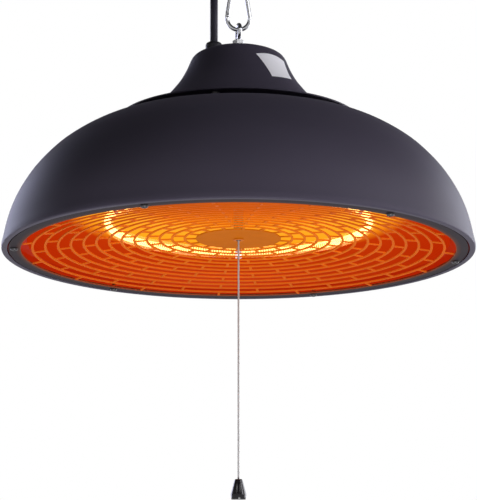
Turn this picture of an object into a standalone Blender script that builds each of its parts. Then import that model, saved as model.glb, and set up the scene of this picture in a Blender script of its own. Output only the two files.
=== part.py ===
"""Hanging patio heater: a domed shade with a ring lamp behind a slotted guard, on an eye bolt and a snap hook."""
import math

import bmesh
import bpy
from mathutils import Matrix, Vector

MM = 0.001

# Clearances and cutting allowances
GAP = 0.3 * MM
OVERRUN = 2.0 * MM
WELD = 0.01 * MM

# Snap hook: bent wire, wide bend below, origin on the inside of its top bend
HOOK_WIRE = 4.0 * MM
HOOK_LENGTH = 50.0 * MM
HOOK_WIDE_RADIUS = 10.5 * MM
HOOK_NARROW_RADIUS = 6.0 * MM
GATE_DIAMETER = 4.8 * MM
GATE_WALL = 0.9 * MM
GATE_PIN_DROP = 7.0 * MM
GATE_PIN_DIAMETER = 1.6 * MM
GATE_PIN_HEAD = 0.4 * MM
TONGUE_THICKNESS = 1.5 * MM
NOSE_NECK = 2.0 * MM
NOSE_HEAD = 1.4 * MM
NOSE_WIDTH = 4.6 * MM

# Eye bolt and the hardware that clamps it in the cap
EYE_WIRE = 4.0 * MM
EYE_BORE = 9.0 * MM
EYE_TURN_DEG = 12.0
SHANK_DIAMETER = 6.0 * MM
SHANK_TAIL = 4.0 * MM
NUT_ACROSS_FLATS = 10.0 * MM
NUT_HEIGHT = 5.0 * MM
WASHER_DIAMETER = 12.0 * MM
WASHER_THICKNESS = 1.2 * MM
LOAD_WASHER_DIAMETER = 30.0 * MM
LOAD_WASHER_THICKNESS = 2.0 * MM

# Cap: flared pressing that stands on the vent plate
CAP_HEIGHT = 72.9 * MM
CAP_BASE_RADIUS = 87.0 * MM
CAP_SHEET = 1.5 * MM
CAP_FLANGE = 15.0 * MM
CAP_SCREW_INSET = 10.0 * MM
CAP_SCREW_COUNT = 3
CAP_OUTLINE_SHARES = (
    (0.988, 0.000), (1.000, 0.018), (0.905, 0.118), (0.795, 0.260), (0.688, 0.412), (0.598, 0.570),
    (0.535, 0.720), (0.503, 0.813), (0.445, 0.876), (0.310, 0.934), (0.140, 0.982),
)

# Mains lead: gland in the crown, cord, tied coil behind the cap, and plug
CORD_DIAMETER = 7.2 * MM
CORD_ROUTE = (
    (-0.0228, 0.0000, -0.0589), (-0.0228, 0.0000, -0.0430), (-0.0228, 0.0000, -0.0270), (-0.0229, 0.0040, -0.0120),
    (-0.0230, 0.0150, -0.0010), (-0.0232, 0.0300, 0.0030), (-0.0235, 0.0450, -0.0010), (-0.0236, 0.0560, -0.0120),
    (-0.0237, 0.0600, -0.0270), (-0.0238, 0.0600, -0.0420), (-0.0242, 0.0598, -0.0560), (-0.0246, 0.0595, -0.0700),
    (-0.0248, 0.0594, -0.0817), (-0.0261, 0.0614, -0.0937), (-0.0297, 0.0669, -0.1039), (-0.0352, 0.0753, -0.1109),
)
COIL_TILT_DEG = 28.0
COIL_INNER_RADIUS = 28.9 * MM
COIL_PITCH = 7.75 * MM
COIL_TURNS = 6.083
COIL_START_DEG = 210.0
COIL_STEP_DEG = 15.0
TAIL_TURN_DEG = 135.0
TAIL_RADIUS = 35.0 * MM
TAIL_RISE = 7.6 * MM
TAIL_RISE_LENGTH = 26.0 * MM
TAIL_RUN = 6.0 * MM
TIE_SHEET = 1.2 * MM
TIE_WIDTH = 9.0 * MM
TIE_AT_DEG = 300.0
PLUG_DIAMETER = 36.0 * MM
PLUG_LENGTH = 58.0 * MM
PLUG_PIN_DIAMETER = 4.8 * MM
PLUG_PIN_LENGTH = 19.0 * MM
PLUG_PIN_SPREAD = 19.0 * MM
PLUG_CLIP_DEPTH = 20.0 * MM
PLUG_TILT_DEG = 16.5
PLUG_OUTLINE_SHARES = (
    (0.26, 0.000), (0.30, 0.150), (0.40, 0.320), (0.52, 0.430), (0.66, 0.520), (0.88, 0.600), (1.00, 0.680),
    (1.00, 0.975), (0.96, 1.000),
)
GLAND_OFFSET = -22.8 * MM
GLAND_DIAMETER = 15.6 * MM
GLAND_RISE = 9.4 * MM
GLAND_NECK_DIAMETER = 11.4 * MM
GLAND_NECK_DEPTH = 13.0 * MM
GLAND_NUT_DIAMETER = 17.0 * MM
GLAND_NUT_HEIGHT = 4.0 * MM

# Vent plate on spacers over the flat top of the shade
PLATE_RADIUS = 112.0 * MM
PLATE_THICKNESS = 1.5 * MM
SPACER_HEIGHT = 6.1 * MM
SPACER_DIAMETER = 7.0 * MM
SPACER_HEAD_HEIGHT = 1.2 * MM
SPACER_CIRCLE_RADIUS = 104.0 * MM
SPACER_COUNT = 4
SPACER_TURN_DEG = 258.9
VENT_HOLE_DIAMETER = 16.0 * MM
VENT_CIRCLE_RADIUS = 82.0 * MM
VENT_HOLE_COUNT = 8

# Shade: spun dome with a turned-in lip, open below
SHADE_RADIUS = 212.5 * MM
SHADE_HEIGHT = 115.2 * MM
SHADE_TOP_RADIUS = 120.0 * MM
SHADE_SHEET = 1.5 * MM
SHADE_LIP = 5.3 * MM
SHADE_LIP_CORNER = 2.0 * MM
SHADE_STEPS = 36
SHADE_OUTLINE_SHARES = (
    (1.000, 0.030), (0.977, 0.115), (0.936, 0.260), (0.862, 0.410), (0.754, 0.560), (0.605, 0.706),
    (0.410, 0.843), (0.200, 0.945),
)

# Grille: dished guard with staggered rows of slots
GRILLE_RADIUS = (SHADE_RADIUS - SHADE_LIP) * math.cos(math.pi / SHADE_STEPS) - GAP
GRILLE_FLANGE_WIDTH = 10.9 * MM
GRILLE_FLANGE_RADIUS = GRILLE_RADIUS - GRILLE_FLANGE_WIDTH
GRILLE_DISC_RADIUS = 38.4 * MM
GRILLE_RISE = 14.3 * MM
GRILLE_DISH_POWER = 1.62
GRILLE_SHEET = 1.1 * MM
GRILLE_BAR = 2.2 * MM
GRILLE_RIB = 2.2 * MM
GRILLE_ROWS = 14
GRILLE_SLOTS_PER_ROW = 15
GRILLE_RECESS = 0.5 * MM
GRILLE_SCREW_INSET = 5.1 * MM
GRILLE_SCREW_CIRCLE_RADIUS = GRILLE_RADIUS - GRILLE_SCREW_INSET
GRILLE_SCREW_COUNT = 6
GRILLE_SCREW_TURN_DEG = 8.0

# Angle ring inside the rim, which the guard is screwed to
RING_HEIGHT = 12.0 * MM
RING_SHEET = 1.2 * MM

# Screws
SCREW_DIAMETER = 3.5 * MM
SCREW_HEAD_DIAMETER = 7.0 * MM
SCREW_HEAD_HEIGHT = 2.2 * MM
SCREW_TIP = 3.0 * MM

# Reflector, heat shield and the posts that carry them
REFLECTOR_INSET = 5.2 * MM
REFLECTOR_RADIUS = GRILLE_FLANGE_RADIUS - REFLECTOR_INSET
REFLECTOR_HEIGHT = 58.0 * MM
REFLECTOR_SHEET = 0.8 * MM
REFLECTOR_BORE = 14.0 * MM
REFLECTOR_OUTLINE_SHARES = (
    (1.000, 0.140), (0.950, 0.350), (0.820, 0.620), (0.660, 0.820), (0.480, 0.940), (0.300, 1.000),
)
SHIELD_RADIUS = 110.0 * MM
SHIELD_THICKNESS = 1.0 * MM
SHIELD_RISE = 20.0 * MM
POST_DIAMETER = 10.0 * MM
POST_NECK_DIAMETER = 7.0 * MM
POST_CIRCLE_RADIUS = 50.0 * MM
POST_COUNT = 3
POST_TURN_DEG = 90.0
POST_HEAD_HEIGHT = 1.5 * MM
SHIELD_LEAD_SHARE = 0.80

# Lamp: quartz ring tube with ceramic ends, open towards the near side
LAMP_RADIUS = 118.5 * MM
LAMP_RISE = 29.0 * MM
LAMP_TUBE = 11.0 * MM
LAMP_OPEN_DEG = 26.0
LAMP_STEP_DEG = 11.0
LAMP_CAP_DIAMETER = 15.0 * MM
LAMP_CAP_LENGTH = 16.0 * MM
LAMP_CAP_SOLID = 5.6 * MM
CLIP_SHEET = 0.8 * MM
CLIP_WIDTH = 6.0 * MM
CLIP_COUNT = 3
CLIP_MOUTH_DEG = 80.0
LEAD_DIAMETER = 3.0 * MM

# Pull switch under the shade's flat top
SWITCH_LENGTH = 36.0 * MM
SWITCH_DEPTH = 28.0 * MM
SWITCH_HEIGHT = 27.0 * MM
SWITCH_WALL = 2.0 * MM
PLUNGER_DIAMETER = 5.0 * MM
PLUNGER_HEAD_DIAMETER = 13.0 * MM
PLUNGER_HEAD_HEIGHT = 3.0 * MM
SPRING_WIRE = 0.9 * MM
SPRING_COILS = 5
SPRING_POINTS = 8

# Pull cord, its guide and its knob
PULL_DIAMETER = 1.8 * MM
PULL_LENGTH = 214.3 * MM
BUSH_BORE = 3.3 * MM
BUSH_NECK_DIAMETER = 7.0 * MM
BUSH_FLANGE_DIAMETER = 9.6 * MM
BUSH_FLANGE_HEIGHT = 0.9 * MM
GUIDE_TUBE_DIAMETER = 9.0 * MM
GUIDE_TUBE_WALL = 1.0 * MM
KNOB_HEIGHT = 17.8 * MM
KNOB_TOP_DIAMETER = 6.9 * MM
KNOB_DIAMETER = 13.4 * MM
KNOB_FOOT_DIAMETER = 11.6 * MM
KNOB_FOOT_HEIGHT = 4.2 * MM
KNOB_SIDES = 10

# Levels, from the hook down to the rim
HOOK_TOP_Z = -(HOOK_NARROW_RADIUS - HOOK_WIRE / 2)
HOOK_LOW_Z = HOOK_WIRE - HOOK_LENGTH + HOOK_WIRE / 2 + HOOK_WIDE_RADIUS
HOOK_SEAT_Z = HOOK_LOW_Z - HOOK_WIDE_RADIUS
EYE_RADIUS = (EYE_BORE + EYE_WIRE) / 2
EYE_Z = HOOK_SEAT_Z + HOOK_WIRE / 2 + GAP - EYE_BORE / 2
NUT_TOP_Z = EYE_Z - EYE_RADIUS - EYE_WIRE / 2 - GAP
NUT_Z = NUT_TOP_Z - NUT_HEIGHT
WASHER_Z = NUT_Z - GAP - WASHER_THICKNESS
CROWN_Z = WASHER_Z - GAP
CAP_Z = CROWN_Z - CAP_HEIGHT
PLATE_TOP_Z = CAP_Z - GAP
PLATE_Z = PLATE_TOP_Z - PLATE_THICKNESS
SPACER_Z = PLATE_Z - GAP - SPACER_HEIGHT
DECK_TOP_Z = SPACER_Z - GAP
DECK_Z = DECK_TOP_Z - SHADE_SHEET
RIM_Z = DECK_TOP_Z - SHADE_HEIGHT
SPACER_TURN = math.radians(SPACER_TURN_DEG)
SCREW_RADIUS = SCREW_DIAMETER / 2

CORD_COLOUR = (0.022, 0.021, 0.026)
BLACK = (0.030, 0.028, 0.036)
ZINC = (0.62, 0.63, 0.65)


def material(name, colour, roughness, metallic):
    made = bpy.data.materials.new(name)
    made.use_nodes = True
    shader = made.node_tree.nodes["Principled BSDF"]
    shader.inputs["Base Color"].default_value = (*colour, 1.0)
    shader.inputs["Roughness"].default_value = roughness
    shader.inputs["Metallic"].default_value = metallic
    return made


def finish(name, mesh, colour, roughness=0.5, metallic=0.0, smooth_deg=40.0):
    """Put a mesh in the scene as one named piece with its own material."""
    mesh.name = name
    mesh.shade_smooth()
    mesh.set_sharp_from_angle(angle=math.radians(smooth_deg))
    piece = bpy.data.objects.new(name, mesh)
    piece.data.materials.append(material(name, colour, roughness, metallic))
    bpy.context.scene.collection.objects.link(piece)
    return piece


def to_mesh(bm):
    bmesh.ops.remove_doubles(bm, verts=bm.verts, dist=WELD)
    bmesh.ops.dissolve_degenerate(bm, edges=bm.edges, dist=WELD)
    bmesh.ops.recalc_face_normals(bm, faces=bm.faces)
    mesh = bpy.data.meshes.new("shape")
    bm.to_mesh(mesh)
    bm.free()
    return mesh


def at(x, y, z):
    return Matrix.Translation((x, y, z))


def turn_into(bm, outline, steps, place=None):
    """Turn a closed outline of (radius, height) points about the Z axis and add it to a bmesh."""
    part = bmesh.new()
    verts = [part.verts.new((r, 0.0, z)) for r, z in outline]
    edges = [part.edges.new((a, b)) for a, b in zip(verts, verts[1:] + verts[:1])]
    bmesh.ops.spin(part, geom=verts + edges, cent=(0.0, 0.0, 0.0), axis=(0.0, 0.0, 1.0), dvec=(0.0, 0.0, 0.0),
                   angle=math.tau, steps=steps, use_merge=True)
    bmesh.ops.remove_doubles(part, verts=part.verts, dist=WELD)
    bmesh.ops.dissolve_degenerate(part, edges=part.edges, dist=WELD)
    bmesh.ops.recalc_face_normals(part, faces=part.faces)
    if place is not None:
        part.transform(place)
    mesh = bpy.data.meshes.new("turned")
    part.to_mesh(mesh)
    part.free()
    bm.from_mesh(mesh)
    bpy.data.meshes.remove(mesh)


def turned(outline, steps, place=None):
    bm = bmesh.new()
    turn_into(bm, outline, steps, place)
    mesh = bpy.data.meshes.new("shape")
    bm.to_mesh(mesh)
    bm.free()
    return mesh


def disc_outline(radius, low, high, bore=0.0):
    return ((bore, low), (radius, low), (radius, high), (bore, high))


def round_plate(radius, low, high, steps):
    bm = bmesh.new()
    bmesh.ops.create_cone(bm, cap_ends=True, segments=steps, radius1=radius, radius2=radius, depth=high - low,
                          matrix=at(0.0, 0.0, (low + high) / 2))
    return to_mesh(bm)


def box_into(bm, low, high, matrix=None):
    size = [b - a for a, b in zip(low, high)]
    middle = [(a + b) / 2 for a, b in zip(low, high)]
    place = Matrix.Translation(middle) @ Matrix.Diagonal((*size, 1.0))
    bmesh.ops.create_cube(bm, size=1.0, matrix=(matrix or Matrix.Identity(4)) @ place)


def box(low, high, matrix=None):
    bm = bmesh.new()
    box_into(bm, low, high, matrix)
    mesh = bpy.data.meshes.new("shape")
    bm.to_mesh(mesh)
    bm.free()
    return mesh


def prism_into(bm, outline, low, high, matrix=None):
    """Extrude a flat outline of (x, z) points along Y and add it to a bmesh."""
    part = bmesh.new()
    face = part.faces.new([part.verts.new((x, low, z)) for x, z in outline])
    grown = bmesh.ops.extrude_face_region(part, geom=[face])
    top = [v for v in grown["geom"] if isinstance(v, bmesh.types.BMVert)]
    bmesh.ops.translate(part, verts=top, vec=(0.0, high - low, 0.0))
    bmesh.ops.recalc_face_normals(part, faces=part.faces)
    part.transform(matrix or Matrix.Identity(4))
    mesh = bpy.data.meshes.new("prism")
    part.to_mesh(mesh)
    part.free()
    bm.from_mesh(mesh)
    bpy.data.meshes.remove(mesh)


def wire(name, points, diameter, resolution, tips=1.0):
    """A round wire or cord as a curve with filled caps, optionally with smaller tips."""
    curve = bpy.data.curves.new(name, "CURVE")
    curve.dimensions = "3D"
    curve.bevel_depth = diameter / 2
    curve.bevel_resolution = resolution
    curve.use_fill_caps = True
    spline = curve.splines.new("POLY")
    spline.points.add(len(points) - 1)
    for spot, place in zip(spline.points, points):
        spot.co = (*place, 1.0)
    spline.points[0].radius = tips
    spline.use_smooth = True
    return curve


def wire_piece(name, points, diameter, resolution, colour, roughness=0.5, metallic=0.0, tips=1.0):
    curve = wire(name, points, diameter, resolution, tips=tips)
    piece = bpy.data.objects.new(name, curve)
    curve.materials.append(material(name, colour, roughness, metallic))
    bpy.context.scene.collection.objects.link(piece)
    return piece


def wire_mesh(points, diameter, resolution):
    """The same wire as a mesh, for a piece that is joined or cut."""
    holder = bpy.data.objects.new("wire", wire("wire", points, diameter, resolution))
    bpy.context.scene.collection.objects.link(holder)
    mesh = bpy.data.meshes.new_from_object(holder)
    bpy.data.objects.remove(holder)
    bm = bmesh.new()
    bm.from_mesh(mesh)
    bpy.data.meshes.remove(mesh)
    return to_mesh(bm)


def tool(name, mesh, parent=None):
    """A helper shape that a Boolean reads and the model leaves out."""
    piece = bpy.data.objects.new(name, mesh)
    piece.hide_render = True
    piece.display_type = "WIRE"
    bpy.context.scene.collection.objects.link(piece)
    piece.parent = parent
    return piece


def combine(target, other, operation):
    modifier = target.modifiers.new(operation.lower(), "BOOLEAN")
    modifier.operation = operation
    modifier.object = other
    modifier.solver = "EXACT"


def smooth_path(route, spacing):
    """Points on a Catmull-Rom curve through a route, at an even spacing."""
    knots = [Vector(p) for p in route]
    knots = [2 * knots[0] - knots[1], *knots, 2 * knots[-1] - knots[-2]]
    fine = []
    for a, b, c, d in zip(knots, knots[1:], knots[2:], knots[3:]):
        for step in range(20):
            t = step / 20
            fine.append(0.5 * (2 * b + (c - a) * t + (2 * a - 5 * b + 4 * c - d) * t ** 2
                               + (3 * b - a - 3 * c + d) * t ** 3))
    fine.append(knots[-2])
    lengths = [0.0]
    for a, b in zip(fine, fine[1:]):
        lengths.append(lengths[-1] + (b - a).length)
    count = max(2, round(lengths[-1] / spacing))
    points = []
    for k in range(count + 1):
        wanted = lengths[-1] * k / count
        i = min(max(j for j, reached in enumerate(lengths) if reached <= wanted), len(fine) - 2)
        points.append(fine[i].lerp(fine[i + 1], (wanted - lengths[i]) / (lengths[i + 1] - lengths[i])))
    return points


def path_length(points):
    return sum((b - a).length for a, b in zip(points, points[1:]))


def around(count, radius, start=0.0):
    """Places and turns of copies that are spread evenly round the Z axis."""
    for k in range(count):
        angle = start + math.tau * k / count
        yield Matrix.Rotation(angle, 4, "Z") @ Matrix.Translation((radius, 0.0, 0.0))


def offset_outline(points, thickness):
    """The same open outline, moved inwards by the sheet's thickness along its normals."""
    moved = []
    for k, (r, z) in enumerate(points):
        before = Vector(points[max(k - 1, 0)])
        after = Vector(points[min(k + 1, len(points) - 1)])
        along = (after - before).normalized()
        moved.append((r - along.y * thickness, z + along.x * thickness))
    return moved


def shaped(shares, radius, height):
    return [(r * radius, z * height) for r, z in shares]


def hexagon(across_flats):
    corner = across_flats / math.sqrt(3.0)
    return [(corner * math.cos(math.tau * k / 6), corner * math.sin(math.tau * k / 6)) for k in range(6)]


def drill(places, radius, low, high, name):
    """A cutter for a set of round holes."""
    bm = bmesh.new()
    for place in places:
        turn_into(bm, disc_outline(radius, low, high), 8, place)
    return tool(name, to_mesh(bm))


def turned_set(name, places, outline, steps, colour, roughness, metallic):
    """Alike turned pieces, one object each, numbered from 1."""
    for number, place in enumerate(places, 1):
        piece = finish(f"{name}_{number}", turned(outline, steps), colour, roughness, metallic)
        piece.matrix_world = place


def screw_outline(seat, length):
    """A pan-head screw that goes up through its seat, with its head below."""
    radius, low = SCREW_HEAD_DIAMETER / 2, seat - SCREW_HEAD_HEIGHT
    return ((0.0, low), (radius * 0.7, low), (radius, low + SCREW_HEAD_HEIGHT / 3), (radius, seat),
            (SCREW_RADIUS, seat), (SCREW_RADIUS, seat + length), (0.0, seat + length))


# Snap hook

def hook_tangent():
    spread = HOOK_TOP_Z - HOOK_LOW_Z
    return math.asin((HOOK_WIDE_RADIUS - HOOK_NARROW_RADIUS) / spread)


def left_line():
    """The straight left side: its lower and upper ends and its direction upwards."""
    lean = hook_tangent()
    low = Vector((-HOOK_WIDE_RADIUS * math.cos(lean), 0.0, HOOK_LOW_Z + HOOK_WIDE_RADIUS * math.sin(lean)))
    high = Vector((-HOOK_NARROW_RADIUS * math.cos(lean), 0.0, HOOK_TOP_Z + HOOK_NARROW_RADIUS * math.sin(lean)))
    return low, high, (high - low).normalized()


def hook_points():
    """Centreline from the nose round the wide bend, up the back and over to the hinge."""
    lean = hook_tangent()
    low, high, up = left_line()
    points = []
    for k in range(13):
        angle = math.pi - lean + (math.pi + 2 * lean) * k / 12
        points.append(Vector((HOOK_WIDE_RADIUS * math.cos(angle), 0.0,
                              HOOK_LOW_Z + HOOK_WIDE_RADIUS * math.sin(angle))))
    for k in range(10):
        angle = lean + (math.pi - 2 * lean) * k / 9
        points.append(Vector((HOOK_NARROW_RADIUS * math.cos(angle), 0.0,
                              HOOK_TOP_Z + HOOK_NARROW_RADIUS * math.sin(angle))))
    points.append(high - up * (GATE_PIN_DROP - GATE_DIAMETER / 2 - GAP * 2))
    return points


def make_hook():
    lean = hook_tangent()
    low, high, up = left_line()
    hook = finish("snap_hook", wire_mesh(hook_points(), HOOK_WIRE, 2), ZINC, 0.25, 1.0)
    at_nose = Matrix.Translation(low) @ Matrix.Rotation(lean, 4, "Y")
    at_pin = Matrix.Translation(high - up * GATE_PIN_DROP) @ Matrix.Rotation(lean, 4, "Y")
    half, inner = TONGUE_THICKNESS / 2, GATE_DIAMETER / 2 - GATE_WALL - GAP
    nose = bmesh.new()
    prism_into(nose, ((-inner, -GAP), (inner, -GAP), (inner, NOSE_NECK + GAP), (-inner, NOSE_NECK + GAP)),
               -half, half, at_nose)
    nose_tool = tool("nose_neck", to_mesh(nose))
    head = box((-HOOK_WIRE / 2, -NOSE_WIDTH / 2, NOSE_NECK), (inner, NOSE_WIDTH / 2, NOSE_NECK + NOSE_HEAD), at_nose)
    head_tool = tool("nose_head", head)
    tongue = bmesh.new()
    reach, tip = GATE_PIN_DROP, HOOK_WIRE / 2 - GAP
    prism_into(tongue, ((-tip, 0.0), (-tip * 0.7, -tip * 0.7), (0.0, -tip), (tip * 0.7, -tip * 0.7), (tip, 0.0),
                        (tip, reach), (-tip, reach)), -half, half, at_pin)
    tongue_tool = tool("hinge_tongue", to_mesh(tongue))
    bore = GATE_PIN_DIAMETER / 2 + GAP / 2
    side_on = at_pin @ Matrix.Rotation(math.pi / 2, 4, "X")
    bore_tool = tool("hinge_bore", turned(disc_outline(bore, -HOOK_WIRE, HOOK_WIRE), 12, side_on))
    combine(hook, nose_tool, "UNION")
    combine(hook, head_tool, "UNION")
    combine(hook, tongue_tool, "UNION")
    combine(hook, bore_tool, "DIFFERENCE")


def make_gate():
    """The gate turns on its pin, and its slots clear the hook's tongue and nose."""
    lean = hook_tangent()
    low, high, up = left_line()
    pin = high - up * GATE_PIN_DROP
    drop = (pin - low).length - GAP
    radius = GATE_DIAMETER / 2
    outline = ((0.0, -drop), (radius - GAP, -drop), (radius, -drop + GAP), (radius, radius * 0.2),
               (radius * 0.8, radius * 0.75), (0.0, radius))
    gate = finish("snap_gate", turned(outline, 12), ZINC, 0.25, 1.0)
    gate.location = pin
    gate.rotation_euler = (0.0, lean, 0.0)
    slot = TONGUE_THICKNESS / 2 + GAP
    inner = radius - GATE_WALL
    neck_top = -drop - GAP + NOSE_NECK - GAP
    head_top = neck_top + NOSE_HEAD + GAP * 2
    fork = box((-radius * 2, -slot, -HOOK_WIRE / 2 - GAP), (radius * 2, slot, radius * 2))
    neck = box((-radius * 2, -slot, -drop - OVERRUN), (inner, slot, neck_top + GAP))
    head = box((-radius * 2, -radius * 2, neck_top), (inner, radius * 2, head_top))
    bore = turned(disc_outline(GATE_PIN_DIAMETER / 2 + GAP / 2, -radius * 2, radius * 2), 12,
                  Matrix.Rotation(math.pi / 2, 4, "X"))
    for name, mesh in (("gate_fork", fork), ("gate_neck", neck), ("gate_head", head), ("gate_bore", bore)):
        combine(gate, tool(name, mesh, gate), "DIFFERENCE")
    reach = GATE_DIAMETER / 2 + GATE_PIN_HEAD
    rivet = finish("snap_gate_pin", turned(disc_outline(GATE_PIN_DIAMETER / 2, -reach, reach), 12,
                                           Matrix.Rotation(math.pi / 2, 4, "X")), ZINC, 0.3, 1.0)
    rivet.location = pin


# Eye bolt and its clamping hardware

def make_eye_bolt():
    turn = Matrix.Rotation(math.radians(EYE_TURN_DEG), 4, "Z")
    wire_outline = [(EYE_RADIUS + EYE_WIRE / 2 * math.cos(math.tau * k / 8), EYE_WIRE / 2 * math.sin(math.tau * k / 8))
                    for k in range(8)]
    ring = turned(wire_outline, 20, at(0.0, 0.0, EYE_Z) @ turn @ Matrix.Rotation(math.pi / 2, 4, "Y"))
    eye = finish("eye_bolt", ring, ZINC, 0.3, 1.0)
    tail = CROWN_Z - CAP_SHEET - LOAD_WASHER_THICKNESS - NUT_HEIGHT - SHANK_TAIL
    shank = turned(disc_outline(SHANK_DIAMETER / 2, tail, EYE_Z - EYE_RADIUS), 12)
    combine(eye, tool("eye_shank", shank), "UNION")
    bore = SHANK_DIAMETER / 2 + GAP

    def nut(name, z, colour):
        bm = bmesh.new()
        face = bm.faces.new([bm.verts.new((x, y, z)) for x, y in hexagon(NUT_ACROSS_FLATS)])
        grown = bmesh.ops.extrude_face_region(bm, geom=[face])
        top = [v for v in grown["geom"] if isinstance(v, bmesh.types.BMVert)]
        bmesh.ops.translate(bm, verts=top, vec=(0.0, 0.0, NUT_HEIGHT))
        piece = finish(name, to_mesh(bm), colour, 0.3, 1.0)
        hole = disc_outline(bore, z - OVERRUN, z + NUT_HEIGHT + OVERRUN)
        combine(piece, tool(name + "_bore", turned(hole, 12)), "DIFFERENCE")

    nut("eye_nut", NUT_Z, ZINC)
    finish("eye_washer", turned(disc_outline(WASHER_DIAMETER / 2, WASHER_Z, WASHER_Z + WASHER_THICKNESS, bore), 12),
           ZINC, 0.35, 1.0)
    under = CROWN_Z - CAP_SHEET - GAP * 2
    load_z = under - LOAD_WASHER_THICKNESS
    crown_drop = cap_crown_drop(LOAD_WASHER_DIAMETER / 2)
    dish = ((bore, load_z), (LOAD_WASHER_DIAMETER / 2, load_z - crown_drop),
            (LOAD_WASHER_DIAMETER / 2, under - crown_drop), (bore, under))
    finish("load_washer", turned(dish, 16), ZINC, 0.4, 1.0)
    nut("lock_nut", load_z - crown_drop / 4 - GAP - NUT_HEIGHT, ZINC)


# Cap, gland and cap screws

def cap_outline():
    return shaped(CAP_OUTLINE_SHARES, CAP_BASE_RADIUS, CAP_HEIGHT)


def cap_crown_drop(radius):
    """How far the crown lies below its middle at a radius."""
    outer = [(0.0, CAP_HEIGHT)] + list(reversed(cap_outline()))
    for (r0, z0), (r1, z1) in zip(outer, outer[1:]):
        if r0 <= radius <= r1:
            return CAP_HEIGHT - (z0 + (z1 - z0) * (radius - r0) / (r1 - r0))
    return CAP_HEIGHT


def cap_solid(grow):
    """The cap's outer shape without its hollow, grown by a clearance."""
    outer = offset_outline(cap_outline() + [(0.0, CAP_HEIGHT)], -grow)
    outer[-1] = (0.0, CAP_HEIGHT + grow)
    return turned([(0.0, 0.0)] + outer, 24, at(0.0, 0.0, CAP_Z))


def make_cap():
    hole = SHANK_DIAMETER / 2 + GAP
    outer = cap_outline() + [(hole, CAP_HEIGHT)]
    inner = offset_outline(outer[1:2] + outer[3::2], CAP_SHEET)
    flange = CAP_BASE_RADIUS - CAP_FLANGE
    outline = [(flange, 0.0)] + outer + list(reversed(inner[1:])) + [(CAP_BASE_RADIUS - CAP_SHEET * 2, CAP_SHEET),
                                                                    (flange, CAP_SHEET)]
    cap = finish("top_cap", turned(outline, 24, at(0.0, 0.0, CAP_Z)), BLACK, 0.5)
    neck = disc_outline(GLAND_NECK_DIAMETER / 2 + GAP, -CAP_HEIGHT / 3, CAP_HEIGHT / 3)
    neck_tool = tool("gland_hole", turned(neck, 12, at(GLAND_OFFSET, 0.0, CROWN_Z)))
    combine(cap, neck_tool, "DIFFERENCE")
    places = list(around(CAP_SCREW_COUNT, CAP_BASE_RADIUS - CAP_SCREW_INSET, math.pi / 4))
    holes = drill(places, SCREW_RADIUS + GAP, PLATE_Z - OVERRUN, CAP_Z + CAP_SHEET + OVERRUN, "cap_screw_holes")
    combine(cap, holes, "DIFFERENCE")
    reach = PLATE_THICKNESS + CAP_SHEET + GAP * 2 + SCREW_TIP
    turned_set("cap_screw", places, screw_outline(PLATE_Z - GAP, reach), 8, ZINC, 0.35, 1.0)
    return holes


def gland_top_z():
    return CROWN_Z - cap_crown_drop(abs(GLAND_OFFSET)) + GLAND_RISE


def make_gland():
    """A moulded dome whose underside follows the crown, on a neck that goes through it."""
    radius, high = GLAND_DIAMETER / 2, gland_top_z()
    low = high - GLAND_RISE * 2
    bore = CORD_DIAMETER / 2 + GAP
    dome = [(0.0, low), (radius, low), (radius, high - GLAND_RISE * 0.75)]
    dome += [(radius * math.cos(a), high - GLAND_RISE * 0.75 + GLAND_RISE * 0.75 * math.sin(a))
             for a in (0.4, 0.8, 1.15)]
    dome += [(0.0, high)]
    gland = finish("cable_gland", turned(dome, 16, at(GLAND_OFFSET, 0.0, 0.0)), CORD_COLOUR, 0.45)
    combine(gland, tool("crown_shape", cap_solid(GAP)), "DIFFERENCE")
    neck_low = high - GLAND_RISE - GLAND_NECK_DEPTH
    neck = turned(disc_outline(GLAND_NECK_DIAMETER / 2, neck_low, high - GLAND_RISE / 2), 12,
                  at(GLAND_OFFSET, 0.0, 0.0))
    combine(gland, tool("gland_neck", neck), "UNION")
    socket = turned(disc_outline(bore, high - GLAND_RISE / 3, high + OVERRUN), 12, at(GLAND_OFFSET, 0.0, 0.0))
    combine(gland, tool("gland_socket", socket), "DIFFERENCE")
    nut_high = CROWN_Z - cap_crown_drop(abs(GLAND_OFFSET) + GLAND_NUT_DIAMETER / 2) - CAP_SHEET * 1.5 - GAP
    outline = disc_outline(GLAND_NUT_DIAMETER / 2, nut_high - GLAND_NUT_HEIGHT, nut_high,
                           GLAND_NECK_DIAMETER / 2 + GAP)
    finish("gland_nut", turned(outline, 12, at(GLAND_OFFSET, 0.0, 0.0)), CORD_COLOUR, 0.5)


# Mains lead: the cord over the hook's side, the coil in two layers, the tail and the plug on top of it

def coil_frame():
    """The coil lies on the plate's edge, tilted down towards the back of the shade."""
    return at(0.0, PLATE_RADIUS, PLATE_TOP_Z + GAP * 2) @ Matrix.Rotation(-math.radians(COIL_TILT_DEG), 4, "X")


def coil_points():
    """The loops spiral in, climb one layer where the spiral reverses, and spiral out again."""
    steps = round(COIL_TURNS * 360.0 / COIL_STEP_DEG)
    points = []
    for k in range(steps + 1):
        turn = COIL_TURNS * k / steps
        from_middle = turn - COIL_TURNS / 2
        radius = COIL_INNER_RADIUS + COIL_PITCH * abs(from_middle)
        climb = min(max(from_middle * 2 + 0.5, 0.0), 1.0)
        angle = math.radians(COIL_START_DEG) - math.tau * turn
        points.append(Vector((radius * math.cos(angle), radius * math.sin(angle),
                              CORD_DIAMETER / 2 + COIL_PITCH * climb)))
    return points


def coil_gap(points):
    """The least clear distance between the coil's surface and itself, more than half a turn apart."""
    apart = round(180.0 / COIL_STEP_DEG)
    least = min((points[i] - points[j]).length for i in range(len(points)) for j in range(i + apart, len(points)))
    return least - CORD_DIAMETER


def fine_points(points):
    return [a.lerp(b, k / 4) for a, b in zip(points, points[1:]) for k in range(4)]


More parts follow.
